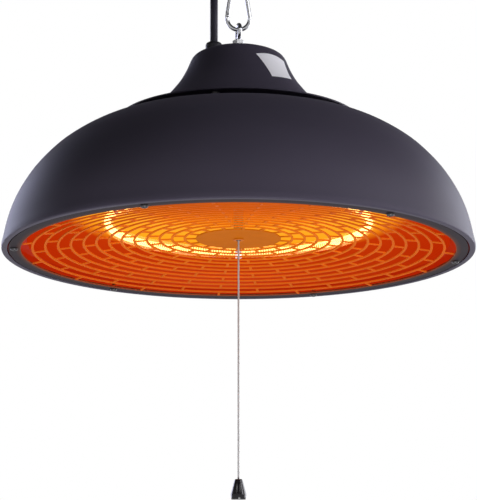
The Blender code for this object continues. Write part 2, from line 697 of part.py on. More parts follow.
def tail_points():
    """From the coil's last loop a wide curve inwards that climbs over the loops, and its end up to the plug."""
    before, end = coil_points()[-2:]
    last = end + (end - before).normalized() * CORD_DIAMETER / 2
    start = math.atan2(last.y, last.x)
    pivot = last - Vector((math.cos(start), math.sin(start), 0.0)) * TAIL_RADIUS
    whole = TAIL_RADIUS * math.radians(TAIL_TURN_DEG)
    points = [end]
    for k in range(13):
        angle = start - math.radians(TAIL_TURN_DEG) * k / 12
        share = min(whole * k / 12 / TAIL_RISE_LENGTH, 1.0)
        rise = TAIL_RISE * share * share * (3 - 2 * share)
        points.append(pivot + Vector((TAIL_RADIUS * math.cos(angle), TAIL_RADIUS * math.sin(angle), rise)))
    level = Vector((math.sin(angle), -math.cos(angle), 0.0))
    for share in (0.5, 1.0):
        tilt = math.radians(PLUG_TILT_DEG) * share
        along = level * math.cos(tilt) + Vector((0.0, 0.0, math.sin(tilt)))
        points.append(points[-1] + along * TAIL_RUN)
    return points, along


def end_gap(points):
    """Draw a cord's ends back a little, so that it meets the next piece face to face."""
    first, last = points[0], points[-1]
    moved = list(points)
    moved[0] = first + (points[1] - first).normalized() * GAP / 2
    moved[-1] = last + (points[-2] - last).normalized() * GAP / 2
    return moved


def make_lead():
    place = coil_frame()
    coil = coil_points()
    tail, along = tail_points()
    before = coil[0] + (coil[0] - coil[1]).normalized() * CORD_DIAMETER
    lead = smooth_path([Vector(p) for p in CORD_ROUTE] + [place @ before], CORD_DIAMETER * 2) + [place @ coil[0]]
    crossing = min((a - b).length for a in fine_points(tail[2:]) for b in fine_points(coil)) - CORD_DIAMETER
    print("lead", round(path_length(lead), 4), "coil", round(path_length(coil), 4), "tail",
          round(path_length(tail), 4), "gap mm", round(coil_gap(coil) / MM, 3), round(crossing / MM, 3))
    wire_piece("mains_cord", end_gap(lead), CORD_DIAMETER, 2, CORD_COLOUR)
    wire_piece("mains_cord_coil", end_gap([place @ p for p in coil]), CORD_DIAMETER, 1, CORD_COLOUR)
    wire_piece("mains_cord_tail", end_gap([place @ p for p in tail]), CORD_DIAMETER, 2, CORD_COLOUR)
    aim = along.to_track_quat("Z", "Y").to_matrix().to_4x4()
    make_plug(place @ Matrix.Translation(tail[-1]) @ aim)
    make_tie(place, coil)


def make_plug(place):
    """A round two-pin plug whose cord end points along its axis, with an earth-clip channel in each side."""
    outline = [(0.0, GAP)] + [(r * PLUG_DIAMETER / 2, GAP + z * PLUG_LENGTH) for r, z in PLUG_OUTLINE_SHARES]
    face = GAP + PLUG_LENGTH
    plug = finish("plug_body", turned(outline + [(0.0, face)], 16, place), CORD_COLOUR, 0.5)
    channels = bmesh.new()
    half, edge = PLUG_PIN_DIAMETER / 2, PLUG_DIAMETER / 2
    for side in (-1, 1):
        low_x, high_x = sorted((side * edge * 0.86, side * edge * 1.2))
        box_into(channels, (low_x, -half, face - PLUG_CLIP_DEPTH), (high_x, half, face + OVERRUN), place)
    combine(plug, tool("plug_channels", to_mesh(channels)), "DIFFERENCE")
    tip = face + GAP + PLUG_PIN_LENGTH
    outline = ((0.0, face + GAP), (half, face + GAP), (half, tip - half / 2), (half / 2, tip), (0.0, tip))
    pins = [place @ at(0.0, side * PLUG_PIN_SPREAD / 2, 0.0) for side in (-1, 1)]
    turned_set("plug_pin", pins, outline, 16, ZINC, 0.25, 1.0)


def make_tie(place, coil):
    """A strap round the coil's section."""
    wanted = math.radians(TIE_AT_DEG)
    way = Vector((math.cos(wanted), math.sin(wanted), 0.0))
    reach = math.radians(COIL_STEP_DEG)
    near = [math.hypot(p.x, p.y) for p in coil if way.angle(Vector((p.x, p.y, 0.0))) < reach]
    clear = CORD_DIAMETER / 2 + GAP * 2
    inner, outer = min(near) - clear, max(near) + clear
    low, high = -GAP * 2, CORD_DIAMETER + COIL_PITCH + GAP * 2
    corner = CORD_DIAMETER / 2

    def loop(grow):
        marks = []
        centres = ((outer - corner, high - corner), (inner + corner, high - corner), (inner + corner, low + corner),
                   (outer - corner, low + corner))
        for quarter, (x, z) in enumerate(centres):
            for k in range(4):
                angle = (quarter + k / 3) * math.pi / 2
                marks.append((x + (corner + grow) * math.cos(angle), z + (corner + grow) * math.sin(angle)))
        return marks

    spot = place @ Matrix.Rotation(wanted, 4, "Z")
    strap, inside = bmesh.new(), bmesh.new()
    prism_into(strap, loop(TIE_SHEET), -TIE_WIDTH / 2, TIE_WIDTH / 2, spot)
    prism_into(inside, loop(0.0), -TIE_WIDTH, TIE_WIDTH, spot)
    tie = finish("cord_tie", to_mesh(strap), (0.03, 0.03, 0.034), 0.6)
    combine(tie, tool("cord_tie_inside", to_mesh(inside)), "DIFFERENCE")


# Vent plate and its shouldered rivets

def make_vent_plate(cap_holes):
    plate = finish("vent_plate", round_plate(PLATE_RADIUS, PLATE_Z, PLATE_TOP_Z, 36), BLACK, 0.5)
    spots = list(around(SPACER_COUNT, SPACER_CIRCLE_RADIUS, SPACER_TURN))
    bores = drill(spots, SCREW_RADIUS + GAP, DECK_Z - OVERRUN, PLATE_TOP_Z + OVERRUN, "rivet_holes")
    for other in (cap_holes, bores):
        combine(plate, other, "DIFFERENCE")
    body, head = SPACER_DIAMETER / 2, SPACER_DIAMETER / 2
    bottom, top = DECK_Z - GAP, PLATE_TOP_Z + GAP
    outline = ((0.0, bottom - SPACER_HEAD_HEIGHT), (head * 0.7, bottom - SPACER_HEAD_HEIGHT), (head, bottom),
               (SCREW_RADIUS, bottom), (SCREW_RADIUS, SPACER_Z), (body, SPACER_Z), (body, SPACER_Z + SPACER_HEIGHT),
               (SCREW_RADIUS, SPACER_Z + SPACER_HEIGHT), (SCREW_RADIUS, top), (head, top),
               (head * 0.7, top + SPACER_HEAD_HEIGHT), (0.0, top + SPACER_HEAD_HEIGHT))
    turned_set("vent_rivet", spots, outline, 6, (0.05, 0.05, 0.055), 0.4, 1.0)
    return bores


# Shade and the angle ring inside its rim

def shade_wall():
    """The outer wall from the rim to the flat top: shares of the way out from the top's edge, and of the height."""
    wall = shaped(SHADE_OUTLINE_SHARES, SHADE_RADIUS - SHADE_TOP_RADIUS, SHADE_HEIGHT)
    return [(SHADE_TOP_RADIUS + r, z) for r, z in wall] + [(SHADE_TOP_RADIUS, SHADE_HEIGHT)]


def make_shade(bores):
    corner, sheet = SHADE_LIP_CORNER, SHADE_SHEET
    lip = SHADE_RADIUS - SHADE_LIP
    outer = shade_wall()
    inner = offset_outline(outer[::2], sheet)
    edge = [(lip, 0.0), (SHADE_RADIUS - corner, 0.0), (SHADE_RADIUS - corner * 0.3, corner * 0.3)]
    inside = [(SHADE_RADIUS - corner, sheet), (lip, sheet)]
    top = [(0.0, SHADE_HEIGHT), (0.0, SHADE_HEIGHT - sheet), (SHADE_TOP_RADIUS - sheet, SHADE_HEIGHT - sheet)]
    outline = edge + outer + top + list(reversed(inner[1:-1])) + inside
    shade = finish("shade", turned(outline, SHADE_STEPS, at(0.0, 0.0, RIM_Z)), BLACK, 0.5, smooth_deg=50.0)
    spots = around(VENT_HOLE_COUNT, VENT_CIRCLE_RADIUS, math.pi / VENT_HOLE_COUNT)
    vents = drill(spots, VENT_HOLE_DIAMETER / 2, DECK_Z - OVERRUN, DECK_TOP_Z + OVERRUN, "vent_holes")
    for other in (bores, vents):
        combine(shade, other, "DIFFERENCE")


def inner_wall_radius(height):
    """The shade's inner radius at a height over the rim."""
    inner = offset_outline(shade_wall()[::2], SHADE_SHEET)
    for (r0, z0), (r1, z1) in zip(inner, inner[1:]):
        if z0 <= height <= z1:
            return r0 + (r1 - r0) * (height - z0) / (z1 - z0)
    return inner[0][0]


def make_rim_ring():
    """An angle ring, its flat leg over the guard's flange and its upright leg inside the shade's wall."""
    low = GRILLE_RECESS + GRILLE_SHEET + GAP
    high = low + RING_HEIGHT
    outer = inner_wall_radius(high) - GAP * 2
    inner = GRILLE_FLANGE_RADIUS + GAP * 4
    outline = ((inner, low), (outer, low), (outer, high), (outer - RING_SHEET, high),
               (outer - RING_SHEET, low + RING_SHEET), (inner, low + RING_SHEET))
    ring = finish("rim_ring", turned(outline, SHADE_STEPS, at(0.0, 0.0, RIM_Z)), ZINC, 0.4, 1.0)
    spots = list(around(GRILLE_SCREW_COUNT, GRILLE_SCREW_CIRCLE_RADIUS, math.radians(GRILLE_SCREW_TURN_DEG)))
    holes = drill(spots, SCREW_RADIUS + GAP, RIM_Z - OVERRUN, RIM_Z + high / 2, "grille_screw_holes")
    combine(ring, holes, "DIFFERENCE")
    length = GRILLE_SHEET + RING_SHEET + GAP * 2 + SCREW_TIP
    turned_set("grille_screw", spots, screw_outline(RIM_Z + GRILLE_RECESS - GAP, length), 8, (0.05, 0.05, 0.055), 0.35,
               1.0)
    return holes


# Guard: a dished sheet with staggered rows of curved slots

def dish_height(radius):
    """Height of the guard's underside over the rim plane."""
    reach = (radius - GRILLE_DISC_RADIUS) / (GRILLE_FLANGE_RADIUS - GRILLE_DISC_RADIUS)
    share = min(max(reach, 0.0), 1.0)
    return GRILLE_RECESS + GRILLE_RISE * (1.0 - share ** GRILLE_DISH_POWER)


def guard_circle(bm, radius, angles):
    return [bm.verts.new((radius * math.cos(a), radius * math.sin(a), dish_height(radius))) for a in angles]


def slot_edge(bm, radius, row):
    """One edge circle of a row of slots: for each rib its two corners, and the point half way to the next rib."""
    pitch = math.tau / GRILLE_SLOTS_PER_ROW
    phase = 0.0 if row % 2 == 0 else pitch / 2
    half = GRILLE_RIB / 2 / radius
    ribs = [phase + k * pitch for k in range(GRILLE_SLOTS_PER_ROW)]
    return [guard_circle(bm, radius, (rib - half, rib + half, rib + pitch / 2)) for rib in ribs]


def fill_bar(bm, inside, outside, shift):
    """The bar between two rows, whose ribs are half a pitch apart."""
    count = GRILLE_SLOTS_PER_ROW
    for k in range(count):
        here, after = inside[k], inside[(k + 1) % count]
        rib, before = outside[(k + shift) % count], outside[(k + shift - 1) % count]
        bm.faces.new((here[1], before[2], rib[0], here[2]))
        bm.faces.new((here[2], rib[0], rib[1]))
        bm.faces.new((here[2], rib[1], rib[2], after[0]))
        bm.faces.new((after[0], rib[2], after[1]))


def make_guard(screw_holes):
    bm = bmesh.new()
    count = GRILLE_SLOTS_PER_ROW
    turn = math.tau / count
    pitch = (GRILLE_FLANGE_RADIUS - GRILLE_DISC_RADIUS + GRILLE_BAR) / GRILLE_ROWS
    hub = guard_circle(bm, BUSH_NECK_DIAMETER / 2 + GAP, [(k + 0.5) * turn for k in range(count)])
    inside = None
    for row in range(1, GRILLE_ROWS + 1):
        radius = GRILLE_DISC_RADIUS + (row - 1) * pitch
        low, high = slot_edge(bm, radius, row), slot_edge(bm, radius + pitch - GRILLE_BAR, row)
        for k in range(count):
            bm.faces.new((low[k][0], high[k][0], high[k][1], low[k][1]))
            if inside is None:
                after = (k + 1) % count
                bm.faces.new((hub[k], low[k][1], low[k][2], low[after][0], hub[after]))
                bm.faces.new((hub[k], low[k][0], low[k][1]))
        if inside is not None:
            fill_bar(bm, inside, low, 1 - row % 2)
        inside = high
    rim = guard_circle(bm, GRILLE_RADIUS, [k * turn / 4 for k in range(count * 4)])
    for k in range(count):
        ring = [rim[(4 * k + j) % len(rim)] for j in range(5)]
        bm.faces.new((inside[k][0], ring[0], inside[k][1]))
        bm.faces.new((inside[k][1], ring[0], ring[1], ring[2], inside[k][2]))
        bm.faces.new((inside[k][2], ring[2], ring[3], ring[4], inside[(k + 1) % count][0]))
    grown = bmesh.ops.extrude_face_region(bm, geom=bm.faces[:])
    top = [v for v in grown["geom"] if isinstance(v, bmesh.types.BMVert)]
    bmesh.ops.translate(bm, verts=top, vec=(0.0, 0.0, GRILLE_SHEET))
    bm.transform(at(0.0, 0.0, RIM_Z))
    guard = finish("grille_guard", to_mesh(bm), (0.055, 0.048, 0.050), 0.5, smooth_deg=30.0)
    combine(guard, screw_holes, "DIFFERENCE")


# Reflector, heat shield and the shouldered posts

def reflector_outline():
    return shaped(REFLECTOR_OUTLINE_SHARES, REFLECTOR_RADIUS, REFLECTOR_HEIGHT)


def reflector_height(radius):
    """Height of the reflector's underside over the rim plane at a radius."""
    wall = reflector_outline()
    wall = offset_outline(wall[::2] + wall[-1:], REFLECTOR_SHEET)
    for (r0, z0), (r1, z1) in zip(wall, wall[1:]):
        if r1 <= radius <= r0:
            return z0 + (z1 - z0) * (r0 - radius) / (r0 - r1)
    return REFLECTOR_HEIGHT - REFLECTOR_SHEET


def lead_spots():
    """Where the lamp's two leads go up, on either side of the middle of the lamp's open gap."""
    angle = math.radians(LAMP_OPEN_DEG) / 7
    return [Vector((side * LAMP_RADIUS * math.sin(angle), -LAMP_RADIUS * math.cos(angle), 0.0)) for side in (-1, 1)]


def post_spots():
    return list(around(POST_COUNT, POST_CIRCLE_RADIUS, math.radians(POST_TURN_DEG)))


def make_reflector():
    outer = reflector_outline()
    inner = offset_outline(outer[::2] + outer[-1:], REFLECTOR_SHEET)
    bore = REFLECTOR_BORE / 2
    top = [(bore, REFLECTOR_HEIGHT), (bore, REFLECTOR_HEIGHT - REFLECTOR_SHEET)]
    outline = outer + top + list(reversed(inner))
    reflector = finish("reflector", turned(outline, 24, at(0.0, 0.0, RIM_Z)), (0.80, 0.79, 0.77), 0.2, 1.0, 30.0)
    low, high = RIM_Z + REFLECTOR_HEIGHT / 2, RIM_Z + REFLECTOR_HEIGHT + OVERRUN
    leads = drill([Matrix.Translation(spot) for spot in lead_spots()], LEAD_DIAMETER, low, high, "lead_holes")
    combine(reflector, leads, "DIFFERENCE")
    combine(reflector, drill(post_spots(), SCREW_RADIUS + GAP, low, high, "post_holes"), "DIFFERENCE")


def make_posts():
    top = RIM_Z + REFLECTOR_HEIGHT
    low = top + GAP
    shoulder = low + SHIELD_RISE
    high = DECK_Z - GAP
    head_high = top - REFLECTOR_SHEET - GAP
    head_low = head_high - POST_HEAD_HEIGHT
    body, neck = POST_DIAMETER / 2, POST_NECK_DIAMETER / 2
    outline = ((0.0, head_low), (neck, head_low), (body, head_high), (SCREW_RADIUS, head_high), (SCREW_RADIUS, low),
               (body, low), (body, shoulder), (neck, shoulder), (neck, high), (0.0, high))
    turned_set("reflector_post", post_spots(), outline, 6, ZINC, 0.4, 1.0)
    shield_low = shoulder + GAP
    shield_high = shield_low + SHIELD_THICKNESS
    shield = finish("heat_shield", round_plate(SHIELD_RADIUS, shield_low, shield_high, 24), (0.6, 0.6, 0.6), 0.45, 1.0)
    middle = drill([Matrix.Identity(4)], PLUNGER_DIAMETER, shoulder, shield_high + OVERRUN, "shield_middle_hole")
    combine(shield, middle, "DIFFERENCE")
    holes = drill(post_spots(), neck + GAP, shoulder, shield_high + OVERRUN, "shield_post_holes")
    combine(shield, holes, "DIFFERENCE")
    spots = [at(spot.x, spot.y * SHIELD_LEAD_SHARE, 0.0) for spot in lead_spots()]
    combine(shield, drill(spots, LEAD_DIAMETER, shoulder, shield_high + OVERRUN, "shield_lead_holes"), "DIFFERENCE")
    return shield_high


# Lamp

def ring_points(height, open_deg):
    """The lamp's open ring, with its gap towards -Y."""
    sweep = 360.0 - open_deg
    count = round(sweep / LAMP_STEP_DEG)
    angles = [math.radians(-90.0 + open_deg / 2 + sweep * k / count) for k in range(count + 1)]
    return [Vector((LAMP_RADIUS * math.cos(a), LAMP_RADIUS * math.sin(a), height)) for a in angles]


def make_lamp():
    level = RIM_Z + LAMP_RISE
    cap_deg = math.degrees(LAMP_CAP_LENGTH / LAMP_RADIUS)
    tube_open = LAMP_OPEN_DEG + cap_deg * 0.8
    wire_piece("lamp_tube", ring_points(level, tube_open), LAMP_TUBE, 2, (1.0, 0.72, 0.36), 0.08)
    radius = LAMP_CAP_DIAMETER / 2
    socket = LAMP_TUBE / 2 + GAP * 2
    outline = ((0.0, 0.0), (radius * 0.9, 0.0), (radius, radius * 0.1), (radius, LAMP_CAP_LENGTH),
               (socket, LAMP_CAP_LENGTH), (socket, LAMP_CAP_SOLID), (0.0, LAMP_CAP_SOLID))
    places = []
    for side in (-1, 1):
        angle = -math.pi / 2 + side * math.radians(LAMP_OPEN_DEG) / 2
        spot = at(LAMP_RADIUS * math.cos(angle), LAMP_RADIUS * math.sin(angle), level)
        aim = Matrix.Rotation(angle + side * math.radians(cap_deg) / 2, 4, "Z")
        places.append(spot @ aim @ Matrix.Rotation(-side * math.pi / 2, 4, "X"))
    turned_set("lamp_end_cap", places, outline, 12, (0.85, 0.83, 0.78), 0.6, 0.0)


def make_clips():
    """Spring clips that hang from the reflector and are open below, where the tube is pushed in."""
    inside = LAMP_TUBE / 2 + GAP * 2
    outside = inside + CLIP_SHEET
    stem = CLIP_SHEET / 2
    high = reflector_height(LAMP_RADIUS + CLIP_SHEET) - LAMP_RISE - GAP * 2
    first = -math.pi / 2 + math.radians(CLIP_MOUTH_DEG) / 2
    sweep = math.tau - math.radians(CLIP_MOUTH_DEG)
    angles = [first + sweep * k / 12 for k in range(13)]
    outline = [(inside * math.cos(a), inside * math.sin(a)) for a in angles]
    back = [(outside * math.cos(a), outside * math.sin(a)) for a in reversed(angles)]
    rise = math.sqrt(outside ** 2 - stem ** 2)
    back[6:7] = [(-stem, rise), (-stem, high), (stem, high), (stem, rise)]
    for number in range(CLIP_COUNT):
        angle = math.pi / 2 + math.tau * number / CLIP_COUNT
        clip = bmesh.new()
        prism_into(clip, outline + back, -CLIP_WIDTH / 2, CLIP_WIDTH / 2)
        piece = finish(f"lamp_clip_{number + 1}", to_mesh(clip), ZINC, 0.4, 1.0)
        piece.matrix_world = Matrix.Rotation(angle, 4, "Z") @ at(LAMP_RADIUS - GAP, 0.0, RIM_Z + LAMP_RISE)


def make_lamp_leads(shield_top):
    """Sleeved leads: out of the ceramic ends, up through the reflector and the shield, to the switch."""
    half = math.radians(LAMP_OPEN_DEG) / 2
    level = RIM_Z + LAMP_RISE
    step = Vector((0.0, 0.0, LAMP_RISE * 0.2))
    for number, (spot, side) in enumerate(zip(lead_spots(), (-1, 1)), 1):
        start = Vector((side * LAMP_RADIUS * math.sin(half), -LAMP_RADIUS * math.cos(half), level))
        start -= Vector((math.cos(half) * side, math.sin(half), 0.0)) * GAP * 3
        under = Vector((spot.x, spot.y, level + LAMP_RISE * 0.35))
        through = Vector((spot.x, spot.y, RIM_Z + REFLECTOR_HEIGHT))
        over = Vector((spot.x, spot.y * SHIELD_LEAD_SHARE, shield_top))
        end = Vector((spot.x, -SWITCH_DEPTH / 2 - GAP, shield_top + SWITCH_HEIGHT / 2))
        near = Vector((spot.x, end.y * 2.2, end.z))
        corner = start.lerp(under, 0.5) - step * 0.4 + Vector((-side * LEAD_DIAMETER, 0.0, 0.0))
        route = (start, corner, under, through, over - step, over, over + step, near, end)
        wire_piece(f"lamp_lead_{number}", smooth_path(route, LEAD_DIAMETER * 4), LEAD_DIAMETER, 1, (0.75, 0.73, 0.68),
                   0.6)


# Pull switch

def make_switch():
    """A box that is open above, against the shade's flat top, with a sprung plunger through its floor."""
    high = DECK_Z - GAP
    low = high - SWITCH_HEIGHT
    x, y, wall = SWITCH_LENGTH / 2, SWITCH_DEPTH / 2, SWITCH_WALL
    body = finish("switch_body", box((-x, -y, low), (x, y, high)), (0.08, 0.08, 0.09), 0.5)
    inside = box((-x + wall, -y + wall, low + wall), (x - wall, y - wall, high + OVERRUN))
    combine(body, tool("switch_inside", inside), "DIFFERENCE")
    rod = PLUNGER_DIAMETER / 2
    bore = turned(disc_outline(rod + GAP, low - OVERRUN, low + wall + OVERRUN), 12)
    combine(body, tool("switch_bore", bore), "DIFFERENCE")
    floor = low + wall + GAP
    head_high = high - GAP
    head_low = head_high - PLUNGER_HEAD_HEIGHT
    foot = low - wall * 2
    head = PLUNGER_HEAD_DIAMETER / 2
    outline = ((0.0, foot), (rod - GAP, foot), (rod, foot + GAP), (rod, head_low), (head, head_low), (head, head_high),
               (0.0, head_high))
    finish("switch_plunger", turned(outline, 12), (0.75, 0.73, 0.68), 0.4)
    coil_radius = (rod + head) / 2
    base, top = floor + SPRING_WIRE / 2, head_low - GAP - SPRING_WIRE / 2
    steps = SPRING_COILS * SPRING_POINTS
    points = [Vector((coil_radius * math.cos(math.tau * k / SPRING_POINTS),
                      coil_radius * math.sin(math.tau * k / SPRING_POINTS), base + (top - base) * k / steps))
              for k in range(steps + 1)]
    wire_piece("return_spring", points, SPRING_WIRE, 0, ZINC, 0.3, 1.0)
    return foot, floor


# Cord guide, pull cord and knob

def make_pull(foot):
    face = RIM_Z + dish_height(0.0)
    bore, flange, neck = BUSH_BORE / 2, BUSH_FLANGE_DIAMETER / 2, BUSH_NECK_DIAMETER / 2
    mouth = face - GAP - BUSH_FLANGE_HEIGHT
    tube_low = face + GRILLE_SHEET + GAP
    tube_high = RIM_Z + REFLECTOR_HEIGHT - REFLECTOR_SHEET - GAP
    seat = tube_low + BUSH_FLANGE_HEIGHT * 3
    bush = ((bore + BUSH_FLANGE_HEIGHT / 2, mouth), (flange - GAP, mouth), (flange, mouth + GAP), (flange, face - GAP),
            (neck - GAP, face - GAP), (neck - GAP, seat), (bore, seat), (bore, mouth + BUSH_FLANGE_HEIGHT))
    finish("cord_bush", turned(bush, 12), (0.05, 0.05, 0.055), 0.4)
    wall = GUIDE_TUBE_WALL
    outer = GUIDE_TUBE_DIAMETER / 2
    foot_radius, foot_high = outer + wall * 2, tube_low + wall
    tube = ((neck, tube_low), (foot_radius, tube_low), (foot_radius, foot_high), (outer, foot_high), (outer, tube_high),
            (outer - wall, tube_high), (outer - wall, seat + GAP), (neck, seat + GAP))
    finish("cord_guide_tube", turned(tube, 12), (0.6, 0.6, 0.62), 0.3, 1.0)
    joint_z = mouth - GAP * 2
    ends = [Vector((0.0, 0.0, z)) for z in (joint_z + GAP / 2, foot - GAP)]
    wire_piece("inner_pull_cord", ends, PULL_DIAMETER, 2, (0.6, 0.6, 0.58), 0.6)
    count = round(PULL_LENGTH / (PULL_DIAMETER * 3))
    high = joint_z - GAP / 2
    marks = [Vector((0.0, 0.0, high - (PULL_LENGTH - GAP) * k / count)) for k in range(count + 1)]
    marks.insert(1, Vector((0.0, 0.0, high - PULL_DIAMETER / 3)))
    wire_piece("pull_cord", marks, PULL_DIAMETER, 2, (0.6, 0.6, 0.58), 0.6, tips=0.4)
    make_knob(joint_z - PULL_LENGTH)
    return joint_z


def make_knob(top):
    """A faceted drop, wide near its foot, with a chamfer round its top and its foot."""
    foot = KNOB_FOOT_DIAMETER / 2
    outline = ((0.0, top), (KNOB_TOP_DIAMETER * 0.41, top), (KNOB_TOP_DIAMETER / 2, top - KNOB_TOP_DIAMETER * 0.12),
               (KNOB_DIAMETER / 2, top - KNOB_HEIGHT + KNOB_FOOT_HEIGHT), (foot, top - KNOB_HEIGHT + GAP),
               (foot - GAP, top - KNOB_HEIGHT), (0.0, top - KNOB_HEIGHT))
    edge_on = Matrix.Rotation(math.pi / KNOB_SIDES, 4, "Z")
    finish("pull_knob", turned(outline, KNOB_SIDES, edge_on), (0.01, 0.01, 0.012), 0.12, smooth_deg=20.0)


def clear_scene():
    for piece in list(bpy.data.objects):
        bpy.data.objects.remove(piece, do_unlink=True)


def main():
    clear_scene()
    make_hook()
    make_gate()
    make_eye_bolt()
    cap_holes = make_cap()
    make_gland()
    make_lead()
    bores = make_vent_plate(cap_holes)
    make_shade(bores)
    make_guard(make_rim_ring())
    make_reflector()
    shield_top = make_posts()
    make_lamp()
    make_clips()
    make_lamp_leads(shield_top)
    foot, floor = make_switch()
    joint_z = make_pull(foot)
    print("rim", round(RIM_Z, 5), "gland top", round(gland_top_z(), 5), "spring floor", round(floor, 5),
          "cord pivot", round(joint_z, 5), "hook seat", round(HOOK_SEAT_Z, 5))
    low, high, up = left_line()
    print("gate pin", [round(v, 5) for v in high - up * GATE_PIN_DROP])


main()
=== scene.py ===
# %% [markdown]
# # A hanging patio heater
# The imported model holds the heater's solids, their places and the way that they move. This lesson
# puts smooth, detailed pieces where the plain solids are, and then gives every surface its finish.
# Each step says what the piece is on the real heater and why it is made the way it is.

# %% Load the frame
from math import asin, atan2, cos, degrees, hypot, pi, radians, sin, sqrt, tau

import bmesh
import bpy
from mathutils import Matrix, Vector


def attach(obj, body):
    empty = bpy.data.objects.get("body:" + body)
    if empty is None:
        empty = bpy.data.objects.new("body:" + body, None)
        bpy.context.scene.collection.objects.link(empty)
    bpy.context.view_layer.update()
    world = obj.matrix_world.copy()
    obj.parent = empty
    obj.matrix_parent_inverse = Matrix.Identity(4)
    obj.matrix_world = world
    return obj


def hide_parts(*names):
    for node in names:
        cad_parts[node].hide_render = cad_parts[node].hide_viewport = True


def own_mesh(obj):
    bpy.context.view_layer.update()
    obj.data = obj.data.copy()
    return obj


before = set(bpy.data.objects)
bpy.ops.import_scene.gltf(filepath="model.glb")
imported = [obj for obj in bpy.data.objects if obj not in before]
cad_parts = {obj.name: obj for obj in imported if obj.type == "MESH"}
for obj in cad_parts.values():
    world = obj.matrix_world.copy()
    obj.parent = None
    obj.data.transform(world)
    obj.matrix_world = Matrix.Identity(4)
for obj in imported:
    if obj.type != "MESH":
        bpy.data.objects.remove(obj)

MM = 0.001
scene = bpy.context.scene
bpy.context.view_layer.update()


def placed(name, data):
    """A new object in the scene."""
    made = bpy.data.objects.new(name, data)
    scene.collection.objects.link(made)
    return made


# %% [markdown]
# ## The camera
# The photograph was taken from a little below the heater with a long lens, so the guard under the
# shade shows as a flat ellipse. A camera could be placed by eye, but this one was worked out from
# the ellipse of the rim and the height of the cap, which fix its distance, pitch and lens.

# %% Camera
FOCAL_PIXELS, LONG_SIDE_PIXELS = 1757.0, 500.0
CAMERA_AT, PITCH_DEG = (0.0, -1.550, -0.5959), 12.455

lens = bpy.data.cameras.new("viewer")
lens.sensor_width = 36.0
lens.lens = lens.sensor_width * FOCAL_PIXELS / LONG_SIDE_PIXELS
viewer = placed("viewer", lens)
viewer.location = CAMERA_AT
viewer.rotation_euler = (radians(90.0 + PITCH_DEG), 0.0, 0.0)
scene.camera = viewer
print("lens in mm:", round(lens.lens, 1))

# %% [markdown]
# ## Helpers that bring a piece into the scene
# Every piece is a mesh in the heater's own frame, so its object stays at the origin. One helper
# closes a bmesh and turns it into a mesh. Another makes the object, smooths it, lets it ride on
# its body and hides the solids that it stands for.

# %% From bmesh to piece
WELD = 0.002 * MM


def closed(bm, place=None):
    """Weld a bmesh, point its faces outwards and give it back as a mesh in its place."""
    bmesh.ops.remove_doubles(bm, verts=bm.verts, dist=WELD)
    bmesh.ops.dissolve_degenerate(bm, edges=bm.edges, dist=WELD)
    bmesh.ops.recalc_face_normals(bm, faces=bm.faces)
    bm.transform(place or Matrix.Identity(4))
    mesh = bpy.data.meshes.new("shape")
    bm.to_mesh(mesh)
    bm.free()
    return mesh


def keep(name, mesh, material, stands_for=(), smooth_deg=35.0, body="heater"):
    """Make one piece of the heater from a mesh."""
    mesh.name = name
    mesh.materials.clear()
    mesh.materials.append(material)
    mesh.shade_smooth()
    mesh.set_sharp_from_angle(angle=radians(smooth_deg))
    piece = placed(name, mesh)
    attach(piece, body)
    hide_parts(*stands_for)
    print(name, sum(len(p.vertices) - 2 for p in mesh.polygons), "triangles")
    return piece


def dress(material, *nodes):
    """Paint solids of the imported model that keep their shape."""
    for node in nodes:
        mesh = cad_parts[node].data
        mesh.materials.clear()
        mesh.materials.append(material)


# %% [markdown]
# ## Helpers that shape
# Most of the heater is turned on a lathe or spun over a form, so its pieces come from an outline
# of radius and height that is spun once round the Z axis. Sheet metal needs a second wall, moved
# inwards by its thickness, and real corners are never sharp, so an outline's corners are rounded.

# %% Curves through points
def polar(radius, angle, height=0.0):
    """The point at a distance from the Z axis, a turn round it and a height."""
    return Vector((radius * cos(angle), radius * sin(angle), height))


def flowing(route, spacing):
    """Evenly spaced points on a smooth curve through a route."""
    knots = [Vector(p) for p in route]
    knots = [2 * knots[0] - knots[1], *knots, 2 * knots[-1] - knots[-2]]
    fine = []
    for a, b, c, d in zip(knots, knots[1:], knots[2:], knots[3:]):
        for k in range(20):
            t = k / 20
            fine.append(0.5 * (2 * b + (c - a) * t + (2 * a - 5 * b + 4 * c - d) * t ** 2
                               + (3 * b - a - 3 * c + d) * t ** 3))
    fine.append(knots[-2])
    reached = [0.0]
    for a, b in zip(fine, fine[1:]):
        reached.append(reached[-1] + (b - a).length)
    count = max(2, round(reached[-1] / spacing))
    points, i = [], 0
    for k in range(count):
        wanted = reached[-1] * k / count
        while reached[i + 1] <= wanted:
            i += 1
        points.append(fine[i].lerp(fine[i + 1], (wanted - reached[i]) / (reached[i + 1] - reached[i])))
    return points + [fine[-1]]


def way_length(points):
    return sum((b - a).length for a, b in zip(points, points[1:]))


# %% Outlines
def mm(*pairs, base=0.0):
    """Radii and heights in millimetres as points in metres, over a base height in metres."""
    return [(r * MM, base + z * MM) for r, z in pairs]


def band(inner, outer, low, high):
    """The outline of a disc, a ring or a rod."""
    return [(inner, low), (outer, low), (outer, high), (inner, high)]


def offset(wall, thickness):
    """An open outline moved inwards by a sheet's thickness, square to itself."""
    moved = []
    for k, (r, z) in enumerate(wall):
        along = (Vector(wall[min(k + 1, len(wall) - 1)]) - Vector(wall[max(k - 1, 0)])).normalized()
        moved.append((r - along.y * thickness, z + along.x * thickness))
    return moved


